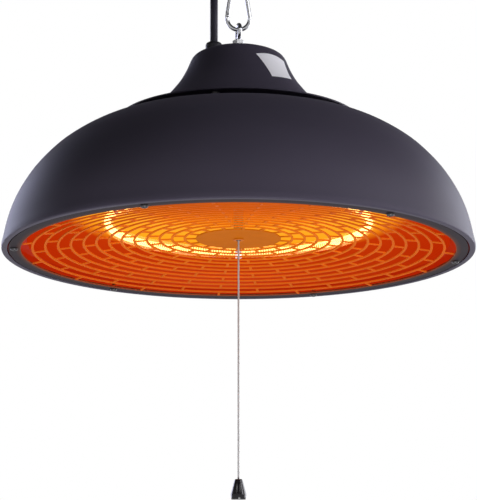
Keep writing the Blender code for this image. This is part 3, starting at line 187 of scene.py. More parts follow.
def rounded(outline, radius, steps=3):
    """A closed outline with its real corners rounded off, apart from points on the axis."""
    marks = []
    points = [Vector(p) for p in outline]
    for before, here, after in zip(points[-1:] + points[:-1], points, points[1:] + points[:1]):
        back, on = before - here, after - here
        cut = min(radius, 0.45 * back.length, 0.45 * on.length)
        if here.x < WELD or cut < WELD or back.angle(-on) < radians(25.0):
            marks.append(here.copy())
            continue
        start, end = here + back.normalized() * cut, here + on.normalized() * cut
        for k in range(steps + 1):
            t = k / steps
            marks.append(start * (1 - t) ** 2 + here * 2 * t * (1 - t) + end * t ** 2)
    return marks


# %% Spinning, moving and carving
def at(x, y, z):
    return Matrix.Translation((x, y, z))


def turned(degree, axis):
    return Matrix.Rotation(radians(degree), 4, axis)


ALONG_Y = turned(90.0, "X")


def traced(bm, points, loop=True):
    """Edges from point to point, and back to the first one in a loop."""
    verts = [bm.verts.new(p) for p in points]
    return [bm.edges.new(pair) for pair in zip(verts, verts[1:] + (verts[:1] if loop else []))]


def spin(bm, steps, angle=tau, rise=0.0):
    """Spin a bmesh round the Z axis, into a closed ring or up a helix."""
    bmesh.ops.spin(bm, geom=bm.verts[:] + bm.edges[:], cent=(0.0, 0.0, 0.0), axis=(0.0, 0.0, 1.0),
                   dvec=(0.0, 0.0, rise), angle=angle, steps=steps, use_merge=not rise)


def spun(outline, steps, place=None):
    """Spin a closed outline of radius and height once round the Z axis."""
    bm = bmesh.new()
    traced(bm, [(r, 0.0, z) for r, z in outline])
    spin(bm, steps)
    return closed(bm, place)


def rod(radius, low, high, place=None, steps=24):
    return spun(band(0.0, radius, low, high), steps, place)


def block(low, high, place=None):
    bm = bmesh.new()
    size = Matrix.Diagonal((*[b - a for a, b in zip(low, high)], 1.0))
    bmesh.ops.create_cube(bm, size=1.0, matrix=at(*[(a + b) / 2 for a, b in zip(low, high)]) @ size)
    return closed(bm, place)


def around(count, radius, start_deg=0.0):
    """Places of copies that are spread evenly round the Z axis."""
    turns = [radians(start_deg) + tau * k / count for k in range(count)]
    return [Matrix.Rotation(turn, 4, "Z") @ at(radius, 0.0, 0.0) for turn in turns]


def together(meshes):
    """Several meshes as one."""
    bm = bmesh.new()
    for mesh in meshes:
        bm.from_mesh(mesh)
        bpy.data.meshes.remove(mesh)
    joined = bpy.data.meshes.new("shape")
    bm.to_mesh(joined)
    bm.free()
    return joined


def copies(mesh, places):
    """One mesh at several places."""
    made = []
    for place in places:
        copy = mesh.copy()
        copy.transform(place)
        made.append(copy)
    bpy.data.meshes.remove(mesh)
    return together(made)


def rods(radius, low, high, places, steps=24):
    """The same rod at several places, mostly to cut holes with."""
    return together([rod(radius, low, high, place, steps) for place in places])


def evaluated(holder):
    """An object's mesh, with its modifiers or its round section worked out."""
    view = bpy.context.evaluated_depsgraph_get()
    return bpy.data.meshes.new_from_object(holder.evaluated_get(view))


def carve(mesh, tools, operation="DIFFERENCE"):
    """Cut tools out of a mesh, or join or intersect it with them."""
    holder = placed("holder", mesh)
    helpers = [placed("helper", tool) for tool in tools]
    for helper in helpers:
        modifier = holder.modifiers.new("carve", "BOOLEAN")
        modifier.operation = operation
        modifier.object = helper
        modifier.solver = "EXACT"
    made = evaluated(holder)
    for piece in [holder, *helpers]:
        old = piece.data
        bpy.data.objects.remove(piece)
        bpy.data.meshes.remove(old)
    return made


# %% [markdown]
# ## Helper for wires and cords
# A cord is a curve with a round section. A poly curve with close points follows its way exactly,
# and its own line is what the length is measured on. Stiff wires use the same curve as a mesh.

# %% Round wire
def cord_curve(name, points, diameter, rings):
    curve = bpy.data.curves.new(name, "CURVE")
    curve.dimensions = "3D"
    curve.bevel_depth = diameter / 2
    curve.bevel_resolution = rings
    curve.use_fill_caps = True
    spline = curve.splines.new("POLY")
    spline.points.add(len(points) - 1)
    for spot, place in zip(spline.points, points):
        spot.co = (*place, 1.0)
    spline.use_smooth = True
    return curve


def wire_mesh(points, diameter, rings):
    curve = cord_curve("wire", points, diameter, rings)
    holder = placed("wire", curve)
    mesh = evaluated(holder)
    bpy.data.objects.remove(holder)
    bpy.data.curves.remove(curve)
    bm = bmesh.new()
    bm.from_mesh(mesh)
    bpy.data.meshes.remove(mesh)
    return closed(bm)


# %% [markdown]
# ## Shader maths as Python
# A finish is easier to read as a sum than as a drawing of nodes. This small class wraps a node's
# output, so that plus, times and a number minus it add Math nodes, and one method adds any other
# node.

# %% A node's output that takes part in sums
class Signal:
    def __init__(self, tree, output):
        self.tree = tree
        self.output = output

    def node(self, kind, settings, inputs, output=0):
        """Add a node: its settings first, then the values or links of its sockets."""
        made = self.tree.nodes.new(kind)
        for name, value in settings.items():
            if name == "stops":
                while len(made.color_ramp.elements) < len(value):
                    made.color_ramp.elements.new(0.5)
                for element, (spot, colour) in zip(made.color_ramp.elements, value):
                    element.position = spot
                    element.color = (*colour, 1.0)
            else:
                setattr(made, name, value)
        for name, value in inputs.items():
            if isinstance(value, Signal):
                self.tree.links.new(value.output, made.inputs[name])
            else:
                made.inputs[name].default_value = value
        return Signal(self.tree, made.outputs[output])

    def sum(self, operation, *others):
        return self.node("ShaderNodeMath", {"operation": operation}, dict(enumerate((self, *others))))

    def __add__(self, other):
        return self.sum("ADD", other)

    def __rsub__(self, other):
        return self.node("ShaderNodeMath", {"operation": "SUBTRACT"}, {0: other, 1: self})

    def __mul__(self, other):
        return self.sum("MULTIPLY", other)

    __radd__ = __add__
    __rmul__ = __mul__

    def vector(self, operation, *others, output=0):
        """The same for vectors. Lengths and dot products are at the output Value."""
        inputs = dict(enumerate((self, *others)))
        return self.node("ShaderNodeVectorMath", {"operation": operation}, inputs, output)

    def flat(self):
        """A place without its height."""
        return self.vector("MULTIPLY", (1.0, 1.0, 0.0))

    def radius(self):
        """A place's distance from the Z axis."""
        return self.flat().vector("LENGTH", output="Value")

    def along(self, axis):
        """One of a place's coordinates."""
        return self.node("ShaderNodeSeparateXYZ", {}, {0: self}, axis)

    def colours(self, low, high):
        """A colour between two, by this signal from 0 to 1."""
        low, high = [end if isinstance(end, Signal) else (*end, 1.0) for end in (low, high)]
        return self.node("ShaderNodeMix", {"data_type": "RGBA"}, {0: self, 6: low, 7: high}, 2)

    def ramp(self, *stops):
        return self.node("ShaderNodeValToRGB", {"stops": stops}, {"Fac": self})

    def share(self, low, high):
        """Where this signal stands between two values, from 0 to 1."""
        inputs = {"Value": self, "From Min": low, "From Max": high}
        return self.node("ShaderNodeMapRange", {}, inputs)

    def noise(self, scale, detail=2.0, stretch=(1.0, 1.0, 1.0)):
        """Soft noise over coordinates in metres: a scale of 1000 has marks of about a millimetre."""
        moved = self.node("ShaderNodeMapping", {}, {"Vector": self, "Scale": stretch})
        inputs = {"Vector": moved, "Scale": scale, "Detail": detail}
        return self.node("ShaderNodeTexNoise", {}, inputs)


def source(tree, kind, output):
    """The output of a new node that has no inputs, such as the coordinates."""
    return Signal(tree, tree.nodes.new(kind).outputs[output])


# %% A new finish
BLACK = (0.0, 0.0, 0.0)


def paint(shader, **varying):
    """Link signals to the shader's sockets."""
    for socket, signal in varying.items():
        signal.tree.links.new(signal.output, shader.inputs[socket.replace("_", " ")])


def relief(shader, height, distance):
    """Raise the surface by a height signal from 0 to 1 times a distance in metres."""
    inputs = {"Height": height, "Distance": distance}
    paint(shader, Normal=height.node("ShaderNodeBump", {}, inputs))


def finish(name, uniform, tone=None, rough=None, bumps=None):
    """A material, its shader with the values that are the same all over, and its coordinates.

    The last three add a noise each and end with the noise's values. Before them tone has two
    colours, rough the least roughness and its spread, and bumps the relief's depth in mm.
    """
    made = bpy.data.materials.new(name)
    made.use_nodes = True
    shader = made.node_tree.nodes["Principled BSDF"]
    for socket, value in uniform.items():
        shader.inputs[socket].default_value = value
    place = source(made.node_tree, "ShaderNodeTexCoord", "Object")
    if tone:
        low, high, *marks = tone
        paint(shader, Base_Color=place.noise(*marks).colours(low, high))
    if rough:
        least, spread, *marks = rough
        paint(shader, Roughness=least + spread * place.noise(*marks))
    if bumps:
        depth, *marks = bumps
        relief(shader, place.noise(*marks), depth * MM)
    return made, shader, place


def plain(*values):
    """The material alone, for a finish that needs nothing more."""
    return finish(*values)[0]


# %% [markdown]
# ## The mains cord
# A black round cord 7.2 mm thick leaves the gland in the cap's crown and goes straight up out of
# the photograph. The rest of its 1.9 m isn't seen, so it is put away: over an arch beside the snap
# hook, down behind the cap, and into a flat coil of two layers on the back of the shade, where the
# tied coil and its plug lie. The way repeats the points of the solid cord.

# %% The cord's way
CORD = 7.2 * MM
UP_AND_OVER = (
    (-0.0228, 0.0000, -0.0589), (-0.0228, 0.0000, -0.0430), (-0.0228, 0.0000, -0.0270),
    (-0.0229, 0.0040, -0.0120), (-0.0230, 0.0150, -0.0010), (-0.0232, 0.0300, 0.0030),
    (-0.0235, 0.0450, -0.0010), (-0.0236, 0.0560, -0.0120), (-0.0237, 0.0600, -0.0270),
    (-0.0238, 0.0600, -0.0420), (-0.0242, 0.0598, -0.0560), (-0.0246, 0.0595, -0.0700),
    (-0.0248, 0.0594, -0.0817), (-0.0261, 0.0614, -0.0937), (-0.0297, 0.0669, -0.1039),
    (-0.0352, 0.0753, -0.1109),
)
COIL_INNER, COIL_PITCH = 28.9 * MM, 7.75 * MM
COIL_TURNS, COIL_START_DEG = 6.083, 210.0
TAIL_RADIUS, TAIL_TURN_DEG = 35.0 * MM, 135.0
TAIL_CLIMB, TAIL_CLIMB_OVER = 7.6 * MM, 26.0 * MM
PLUG_TILT_DEG, PLUG_STEP = 16.5, 6.0 * MM
on_shade = at(0.0, 0.112, -0.1344) @ turned(-28.0, "X")


def coil_way(steps_per_turn):
    """Loops that spiral in, climb one layer where they are narrowest, and spiral out again."""
    steps = round(COIL_TURNS * steps_per_turn)
    points = []
    for k in range(steps + 1):
        from_middle = COIL_TURNS * (k / steps - 0.5)
        radius = COIL_INNER + COIL_PITCH * abs(from_middle)
        climb = min(max(from_middle * 2 + 0.5, 0.0), 1.0)
        angle = radians(COIL_START_DEG) - tau * COIL_TURNS * k / steps
        points.append(polar(radius, angle, CORD / 2 + COIL_PITCH * climb))
    return points


def tail_way(coil):
    """From the last loop a wide curve inwards that climbs over the loops, up to the plug."""
    last = coil[-1] + (coil[-1] - coil[-2]).normalized() * CORD / 2
    start, turn = atan2(last.y, last.x), radians(TAIL_TURN_DEG)
    pivot = last - polar(1.0, start) * TAIL_RADIUS
    points = []
    for k in range(25):
        angle = start - turn * k / 24
        share = min(TAIL_RADIUS * turn * k / 24 / TAIL_CLIMB_OVER, 1.0)
        rise = TAIL_CLIMB * share * share * (3 - 2 * share)
        points.append(pivot + polar(TAIL_RADIUS, angle, rise))
    level = Vector((sin(angle), -cos(angle), 0.0))
    for share in (0.5, 1.0):
        tilt = radians(PLUG_TILT_DEG) * share
        along = level * cos(tilt) + Vector((0.0, 0.0, sin(tilt)))
        points.append(points[-1] + along * PLUG_STEP)
    return points, along


coil = coil_way(24)
tail, plug_aim = tail_way(coil)
before_coil = coil[0] + (coil[0] - coil[1]).normalized() * CORD
lead = [Vector(p) for p in UP_AND_OVER] + [on_shade @ before_coil]
cord_way = flowing(lead, CORD) + [on_shade @ p for p in coil_way(48) + tail]
print("mains cord in m:", round(way_length(cord_way), 3), "points:", len(cord_way))

# %% [markdown]
# The sheath is smooth PVC: nearly black, with a satin surface that is faintly uneven from the
# extruder. The unevenness is noise on the bump, with a very slight change of tone.

# %% Cord sheath
sheath = plain("cord_sheath", {"Specular IOR Level": 0.12},
               ((0.022, 0.020, 0.031), (0.034, 0.031, 0.046), 90.0, 3.0),
               (0.3, 0.16, 260.0), (0.05, 420.0, 3.0))

# %% The cord
mains_cord = placed("mains_cord_sheath", cord_curve("mains_cord_sheath", cord_way, CORD, 6))
mains_cord.data.materials.append(sheath)
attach(mains_cord, "heater")
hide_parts("mains_cord", "mains_cord_coil", "mains_cord_tail")

# %% [markdown]
# ## The plug
# A mains cord ends in its plug. This is a round two-pin plug with a straight grip: turned to its
# outline, with ribs on the cord's sleeve, flutes on the grip and a channel for the earth clip in
# each side. The outline could be sculpted, but a spun one keeps it true to the solid.

# %% Moulded black plastic
moulded = plain("moulded_black", {"Specular IOR Level": 0.14},
                ((0.016, 0.015, 0.019), (0.027, 0.026, 0.032), 70.0, 3.0),
                (0.36, 0.14, 600.0), (0.04, 2200.0, 2.0))

# %% Plug body
PLUG_RADIUS, PLUG_LENGTH = 18.0 * MM, 58.0 * MM
FLUTE_CIRCLE, FLUTE = 18.7 * MM, 1.1 * MM
plug_turn = plug_aim.to_track_quat("Z", "Y").to_matrix().to_4x4()
plug_place = on_shade @ at(*tail[-1]) @ plug_turn
grip = [(0.26, 0.0), (0.30, 0.15), (0.40, 0.32), (0.52, 0.43), (0.66, 0.52), (0.88, 0.60), (1.0, 0.68)]
grip = flowing([(r * PLUG_RADIUS, z * PLUG_LENGTH) for r, z in grip], 1.2 * MM)
face = [(PLUG_RADIUS, PLUG_LENGTH * 0.975), (PLUG_RADIUS * 0.96, PLUG_LENGTH)]
rim_line = mm((16.2, 0.0), (16.2, -0.5), (15.6, -0.5), (15.6, 0.0), base=PLUG_LENGTH)
body_outline = [(0.0, 0.3 * MM), *grip, *face, *rim_line, (0.0, PLUG_LENGTH)]
plug_mesh = spun(rounded(body_outline, 0.5 * MM), 64)
grooves = [spun(band(4.1 * MM + 0.32 * z, 9.0 * MM, z, z + 1.1 * MM), 48)
           for z in (3.0 * MM, 5.6 * MM, 8.2 * MM, 10.8 * MM)]
channel_low, channel_high = PLUG_LENGTH - 20 * MM, PLUG_LENGTH + 2 * MM
sides = [block((low, -2.4 * MM, channel_low), (low + 4.5 * MM, 2.4 * MM, channel_high))
         for low in (-20.0 * MM, 15.5 * MM)]
flutes = rods(FLUTE, 36.0 * MM, 52.0 * MM, around(24, FLUTE_CIRCLE, 7.5), 12)
plug_mesh = carve(plug_mesh, [together(grooves), together(sides), flutes])
plug_mesh.transform(plug_place)
plug = keep("plug_moulding", plug_mesh, moulded, ("plug_body",))

# %% [markdown]
# The pins are nickel-plated rods with rounded tips. Metal like this has hardly any colour of its
# own: its look is a low roughness with a fine unevenness.

# %% Plug pins
nickel = plain("pin_nickel", {"Metallic": 1.0}, ((0.60, 0.60, 0.60), (0.70, 0.69, 0.68), 300.0),
               (0.16, 0.14, 1500.0, 2.0), (0.008, 2600.0))

pin_outline = band(0.0, 2.4 * MM, PLUG_LENGTH + 0.3 * MM, PLUG_LENGTH + 19.6 * MM)
pin_places = [plug_place @ at(0.0, side * 9.5 * MM, 0.0) for side in (-1, 1)]
pin_mesh = copies(spun(rounded(pin_outline, 1.6 * MM, 5), 32), pin_places)
pins = keep("plug_pins", pin_mesh, nickel, ("plug_pin_1", "plug_pin_2"))

# %% [markdown]
# ## The tie
# A woven strap holds the coil. It is a loop of the coil's section, drawn along its width and given
# a thickness. The weave has to follow the strap round its corners, so the loop gets a UV map that
# counts metres along it and across it.

# %% Woven strap
WARP_PITCH, WEFT_PITCH = 1.1 * MM, 1.4 * MM
strap, shader, place = finish("woven_strap", {"Specular IOR Level": 0.2, "Sheen Weight": 0.15},
                              rough=(0.62, 0.2, 900.0))
on_strap = source(place.tree, "ShaderNodeTexCoord", "UV")
warp = (on_strap.along("Y") * (tau / WARP_PITCH)).sum("SINE")
weft = (on_strap.along("X") * (tau / WEFT_PITCH)).sum("SINE")
weave = 0.5 + 0.25 * warp + 0.25 * weft
paint(shader, Base_Color=weave.colours((0.012, 0.012, 0.014), (0.040, 0.040, 0.045)))
relief(shader, weave, 0.12 * MM)

# %% Tie round the coil
TIE_WIDTH, TIE_SLACK, TIE_SHEET = 9.0 * MM, 0.6 * MM, 1.2 * MM
TIE_TURN_DEG = 300.0
tie_way = polar(1.0, radians(TIE_TURN_DEG))
near = [hypot(p.x, p.y) for p in coil
        if tie_way.angle(Vector((p.x, p.y, 0.0))) < radians(15.0)]
inner, outer = min(near) - CORD / 2 - TIE_SLACK, max(near) + CORD / 2 + TIE_SLACK
low, high, corner = -TIE_SLACK, CORD + COIL_PITCH + TIE_SLACK, CORD / 2
marks = []
for quarter, (x, z) in enumerate(((outer - corner, high - corner), (inner + corner, high - corner),
                                  (inner + corner, low + corner), (outer - corner, low + corner))):
    for k in range(9):
        angle = (quarter + k / 8) * pi / 2
        reach_x, reach_z = corner * cos(angle), corner * sin(angle)
        marks.append(Vector((x + reach_x, -TIE_WIDTH / 2, z + reach_z)))
bm = bmesh.new()
drawn = bmesh.ops.extrude_edge_only(bm, edges=traced(bm, marks))
moved = [v for v in drawn["geom"] if isinstance(v, bmesh.types.BMVert)]
bmesh.ops.translate(bm, verts=moved, vec=(0.0, TIE_WIDTH, 0.0))
reached = [0.0]
for a, b in zip(marks, marks[1:] + marks[:1]):
    reached.append(reached[-1] + (b - a).length)
layer = bm.loops.layers.uv.new("UVMap")
for face in bm.faces:
    for loop in face.loops:
        here = loop.vert.co
        spot = min(range(len(marks)),
                   key=lambda k: (marks[k].x - here.x) ** 2 + (marks[k].z - here.z) ** 2)
        loop[layer].uv = (reached[spot], here.y)
bmesh.ops.recalc_face_normals(bm, faces=bm.faces)
bmesh.ops.solidify(bm, geom=bm.faces, thickness=TIE_SHEET)
tie_mesh = closed(bm, on_shade @ turned(TIE_TURN_DEG, "Z"))
tie = keep("coil_strap", tie_mesh, strap, ("cord_tie",))

# %% [markdown]
# ## The pull cord
# A thin grey cord hangs from the middle of the guard to the knob. It is laid from three strands,
# which a plain round cord would miss, so a three-lobed section is drawn down while it turns.

# %% Twisted fibre
fibre = plain("cord_fibre", {"Specular IOR Level": 0.12, "Sheen Weight": 0.05},
              ((0.27, 0.27, 0.275), (0.46, 0.46, 0.46), 1400.0, 3.0),
              (0.6, 0.2, 2000.0), (0.03, 5200.0, 2.0))

# %% Three strands in one section
PULL = 1.8 * MM
PULL_TOP, PULL_END = -0.24555, -0.4597
LAY_LENGTH = 5.0 * MM
LOBE_DEPTH = 0.10
bm = bmesh.new()
bmesh.ops.create_circle(bm, segments=12, radius=PULL / 2)
for vert in bm.verts:
    turn = atan2(vert.co.y, vert.co.x)
    vert.co *= 1.0 - LOBE_DEPTH + LOBE_DEPTH * cos(3 * turn)
bmesh.ops.translate(bm, verts=bm.verts, vec=(0.0, 0.0, PULL_TOP))
drop = PULL_TOP - PULL_END
steps = round(drop / (0.5 * MM))
spin(bm, steps, tau * drop / LAY_LENGTH, -drop / steps)
bmesh.ops.holes_fill(bm, edges=bm.edges)
pull_cord = keep("pull_cord_strands", closed(bm), fibre, ("pull_cord",), 70.0,
                 body="pull")

# %% [markdown]
# ## The knob
# The knob is a drop of glossy black plastic, widest low down, with a small chamfer round its top
# and a band that narrows towards its foot. The thin upright highlights on it are two narrow lamps.

# %% Knob plastic
glossy = plain("knob_gloss", {"Specular IOR Level": 0.27},
               ((0.004, 0.004, 0.005), (0.008, 0.007, 0.009), 120.0),
               (0.12, 0.05, 700.0, 3.0), (0.001, 300.0, 1.0))

# %% Knob
KNOB_HEIGHT, KNOB_BEVEL = 17.8 * MM, 0.22 * MM
foot_z = PULL_END - KNOB_HEIGHT
knob_outline = mm((0.0, 0.0), (3.0, 0.0), (3.6, -0.83), base=PULL_END)
knob_outline += mm((6.95, 4.2), (6.3, 0.0), (0.0, 0.0), base=foot_z)
bm = bmesh.new()
bm.from_mesh(spun(knob_outline, 60))
sharp = [e for e in bm.edges if e.calc_face_angle(0.0) > radians(15.0)]
bmesh.ops.bevel(bm, geom=sharp, offset=KNOB_BEVEL, affect="EDGES", segments=2, profile=0.5, material=-1)
knob = keep("knob_drop", closed(bm), glossy, ("pull_knob",), 30.0, body="pull")

# %% [markdown]
# ## The snap hook
# The snap hook is bent from 4 mm steel wire, wide below and narrow above, and it is bright zinc.
# Its nose is pressed to a small T that the gate's end hooks over, and its other end is a tongue
# that the gate turns on. The wire is one curve, and the nose and tongue are joined to it.

# %% Bright zinc
zinc = plain("bright_zinc", {"Metallic": 1.0},
             ((0.31, 0.315, 0.33), (0.48, 0.48, 0.495), 160.0, 4.0, (1.0, 1.0, 0.25)),
             (0.08, 0.14, 500.0, 3.0), (0.02, 850.0, 3.0))

# %% Hook's measures
WIRE = 4.0 * MM
WIDE, NARROW = 10.5 * MM, 6.0 * MM
TOP_Z, LOW_Z = -4.0 * MM, -33.5 * MM
lean = asin((WIDE - NARROW) / (TOP_Z - LOW_Z))
side_low = Vector((-WIDE * cos(lean), 0.0, LOW_Z + WIDE * sin(lean)))
side_high = Vector((-NARROW * cos(lean), 0.0, TOP_Z + NARROW * sin(lean)))
side_up = (side_high - side_low).normalized()
gate_pin = side_high - side_up * 7.0 * MM
at_nose = at(*side_low) @ Matrix.Rotation(lean, 4, "Y")
at_pin = at(*gate_pin) @ Matrix.Rotation(lean, 4, "Y")
pin_along = at_pin @ ALONG_Y
PIN_BORE = 0.95 * MM

# %% Hook
def bend(radius, z, start, end, steps):
    turns = [start + (end - start) * k / steps for k in range(steps + 1)]
    return [Vector((radius * cos(turn), 0.0, z + radius * sin(turn))) for turn in turns]


hook_way = bend(WIDE, LOW_Z, pi - lean, tau + lean, 40)
hook_way += bend(NARROW, TOP_Z, lean, pi - lean, 30)
hook_way.append(side_high - side_up * 4.0 * MM)
half = 0.75 * MM
nose = block((-1.2 * MM, -half, -0.3 * MM), (1.2 * MM, half, 2.3 * MM), at_nose)
head = block((-2.0 * MM, -2.3 * MM, 2.0 * MM), (1.2 * MM, 2.3 * MM, 3.4 * MM), at_nose)
tongue = rod(1.7 * MM, -half, half, pin_along, 32)
neck = block((-1.7 * MM, -half, 0.0), (1.7 * MM, half, 7.0 * MM), at_pin)
hook_mesh = carve(wire_mesh(hook_way, WIRE, 8), [nose, head, tongue, neck], "UNION")
hook_mesh = carve(hook_mesh, [rod(PIN_BORE, -4 * MM, 4 * MM, pin_along)])
keep("hook_wire", hook_mesh, zinc, ("snap_hook",), body="hook")

# %% [markdown]
# The gate is a short tube that a slot splits at both ends: above for the tongue, below for the
# nose. A small rivet with a head on each side is its hinge. The gate is duller than the bent wire.

# %% Gate and its rivet
satin_zinc = plain("satin_zinc", {"Metallic": 1.0},
                   ((0.34, 0.34, 0.355), (0.50, 0.50, 0.51), 240.0, 3.0),
                   (0.26, 0.14, 900.0, 3.0), (0.015, 1600.0, 2.0))

drop_to_nose = (gate_pin - side_low).length - 0.3 * MM
gate_outline = mm((0.0, 0.0), (2.4, 0.0), base=-drop_to_nose) + mm((2.4, 0.9), (1.6, 2.1), (0.0, 2.4))
slot_half = half + 0.3 * MM
nose_top = -drop_to_nose + 1.4 * MM
cuts = [block((-5 * MM, -slot_half, -2.3 * MM), (5 * MM, slot_half, 5 * MM)),
        block((-5 * MM, -slot_half, -drop_to_nose - 2 * MM),
              (1.5 * MM, slot_half, nose_top + 0.3 * MM)),
        block((-5 * MM, -5 * MM, nose_top), (1.5 * MM, 5 * MM, nose_top + 2.0 * MM)),
        rod(PIN_BORE, -5 * MM, 5 * MM, ALONG_Y)]
gate_mesh = carve(spun(rounded(gate_outline, 0.5 * MM), 48), cuts)
gate_mesh.transform(at_pin)
keep("gate_sleeve", gate_mesh, satin_zinc, ("snap_gate",), body="gate")
rivet = spun(rounded(band(0.0, 0.8 * MM, -2.8 * MM, 2.8 * MM), 0.35 * MM), 24, pin_along)
keep("gate_rivet", rivet, satin_zinc, ("snap_gate_pin",), body="hook")

# %% [markdown]
# ## The eye bolt, its nut and washer
# The hook goes through the ring of an eye bolt, whose shank is clamped in the cap's crown. The nut
# is a hexagon whose corners a cone has turned off, so it is the common part of a hexagonal prism
# and a turned shape.

# %% Eye bolt
EYE_Z, EYE_TURN_DEG = -46.2 * MM, 12.0
EYE_RADIUS, EYE_WIRE_RADIUS = 6.5 * MM, 2.0 * MM
ring_turns = [tau * k / 20 for k in range(20)]
ring_outline = [(EYE_RADIUS + EYE_WIRE_RADIUS * cos(a), EYE_WIRE_RADIUS * sin(a))
                for a in ring_turns]
eye_turn = turned(EYE_TURN_DEG, "Z") @ turned(90.0, "Y")
shank = spun(rounded(band(0.0, 3.0 * MM, -74.3 * MM, -53.2 * MM), 0.6 * MM), 32)
eye_mesh = carve(spun(ring_outline, 64, at(0.0, 0.0, EYE_Z) @ eye_turn), [shank], "UNION")
keep("eye_ring", eye_mesh, zinc, ("eye_bolt",))

# %% Nut and washer
SHANK_BORE = 3.3 * MM
NUT_TURN_DEG = 48.0


def hex_nut(across_flats, low, high, bore_radius):
    """A hexagon nut with turned-off corners."""
    corner = across_flats / sqrt(3.0)
    chamfer = (corner - across_flats / 2) * 0.6
    place = at(0.0, 0.0, (low + high) / 2) @ turned(NUT_TURN_DEG, "Z")
    bm = bmesh.new()
    bmesh.ops.create_cone(bm, cap_ends=True, segments=6, radius1=corner, radius2=corner,
                          depth=high - low, matrix=place)
    turned_off = spun([(0.0, low), (across_flats / 2, low), (corner, low + chamfer),
                       (corner, high - chamfer), (across_flats / 2, high), (0.0, high)], 48)
    nut = carve(closed(bm), [turned_off], "INTERSECT")
    return carve(nut, [rod(bore_radius, low - MM, high + MM, None, 32)])


nut_mesh = hex_nut(10.0 * MM, -60.0 * MM, -55.0 * MM, SHANK_BORE)
keep("crown_nut", nut_mesh, satin_zinc, ("eye_nut",), 25.0)
washer_outline = rounded(band(SHANK_BORE, 6.0 * MM, -61.5 * MM, -60.3 * MM), 0.25 * MM)
keep("crown_washer", spun(washer_outline, 48), satin_zinc, ("eye_washer",))

# %% [markdown]
# ## Black coating
# Cap, vent plate and shade have the same coating: black with a trace of violet, baked on as a
# powder, so it is satin, with a fine orange peel and a very slight change of tone over its area.
# A red glow is painted as emission on the shade's inner wall beside the reflector's edge, where
# the lamp's light would fall. That wall is found by its normals, which point at the axis, and by
# its height over the rim.

# %% Satin black coating
def black_coating(name, seed):
    uniform = {"Specular IOR Level": 0.095, "Specular Tint": (0.92, 0.92, 1.0, 1.0)}
    made, shader, place = finish(name, uniform)
    shifted = place.node("ShaderNodeMapping", {}, {"Vector": place, "Location": (seed, seed, seed)})
    cloud = shifted.noise(9.0, 3.0)
    speck = shifted.noise(1500.0, 2.0)
    tone = 0.7 * cloud + 0.3 * speck
    paint(shader, Base_Color=tone.colours((0.036, 0.031, 0.046), (0.054, 0.047, 0.067)))
    paint(shader, Roughness=0.48 + 0.10 * speck)
    relief(shader, 0.6 * speck + 0.4 * shifted.noise(420.0, 1.0), 0.035 * MM)
    return made, shader, place


shade_coat, shader, place = black_coating("shade_coating", 0.0)
# painted glow: the inner wall near the rim gives a red light of its own, as emission
shader.inputs["Emission Strength"].default_value = 1.0
facing = source(place.tree, "ShaderNodeTexCoord", "Normal")
outwards = place.flat().vector("NORMALIZE")
inwards = facing.vector("DOT_PRODUCT", outwards, output="Value").share(-0.2, -0.5)
height = place.along("Z")
inner_wall_glow = inwards * height.share(-0.205, -0.235) * height.share(-0.250, -0.246)
paint(shader, Emission_Color=inner_wall_glow.colours(BLACK, (0.40, 0.018, 0.001)))
cap_coat = black_coating("cap_coating", 3.1)[0]
plate_coat = black_coating("plate_coating", 7.7)[0]

# %% [markdown]
# ## The cap
# The cap is a flared pressing: steep at its neck, wide at its foot, with a low crown. Its wall is
# one smooth curve through measured points, its inner wall lies a sheet's thickness inside, and the
# holes for the gland and the three screws are cut afterwards.

# %% Cap
CAP_Z, CAP_SHEET = -134.7 * MM, 1.5 * MM
CAP_POINTS = ((87.0, 1.3), (79.0, 8.0), (70.9, 17.0), (62.1, 27.2), (54.4, 37.4), (48.7, 47.7),
              (45.6, 55.0), (44.1, 58.5), (42.3, 61.3), (39.5, 63.5), (36.0, 65.1), (30.0, 67.3),
              (20.0, 70.6), (10.0, 72.5), (3.3, 72.9))
SCREW_HOLE = 2.05 * MM
cap_wall = flowing(mm(*CAP_POINTS), 2.4 * MM)
cap_inside = offset(cap_wall[1:], CAP_SHEET)
cap_outline = [*mm((72.0, 0.0), (86.0, 0.0)), *cap_wall, *cap_inside[::-1],
               *mm((84.0, 0.0), (72.0, 0.0), base=CAP_SHEET)]
screw_places = around(3, 77.0 * MM, 45.0)
gland_place = at(-22.8 * MM, 0.0, 0.0)
cap_tools = [rod(6.0 * MM, -90.0 * MM, -40.0 * MM, gland_place, 48),
             rods(SCREW_HOLE, -140.0 * MM, -130.0 * MM, screw_places)]
cap_mesh = carve(spun(rounded(cap_outline, 0.5 * MM), 128, at(0.0, 0.0, CAP_Z)), cap_tools)
keep("cap_shell", cap_mesh, cap_coat, ("top_cap",))

# %% [markdown]
# ## The cable gland
# The cord goes through a low rubbery dome on the crown. The dome's underside has to follow the
# crown, so the crown's own shape, grown by a hair, is cut out of it.

# %% Gland
GLAND_TOP, SHOULDER = -56.22 * MM, 3.2 * MM
dome_low = GLAND_TOP - 3.7 * MM
dome = mm((0.0, -18.8), (7.8, -18.8), (7.8, -3.7), base=GLAND_TOP)
dome += [(4.6 * MM + SHOULDER * cos(a), dome_low + SHOULDER * sin(a))
         for a in [0.15 * k for k in range(1, 10)]]
dome += mm((4.1, -0.1), (0.0, 0.0), base=GLAND_TOP)
crown_outline = [(0.0, 0.0), *offset(cap_wall, -0.3 * MM), (0.0, 73.2 * MM)]
crown_shape = spun(crown_outline, 96, at(0.0, 0.0, CAP_Z))
socket_hole = rod(3.9 * MM, GLAND_TOP - 3.1 * MM, GLAND_TOP + 2 * MM, gland_place, 48)
gland_mesh = carve(spun(rounded(dome, 0.3 * MM), 64, gland_place), [crown_shape, socket_hole])
keep("gland_dome", gland_mesh, moulded, ("cable_gland",))

# %% [markdown]
# ## The vent plate
# A thin round plate stands on four shouldered rivets a finger's width over the flat top of the
# shade, and the hot air leaves through the gap. In the photograph it is only a dark band.

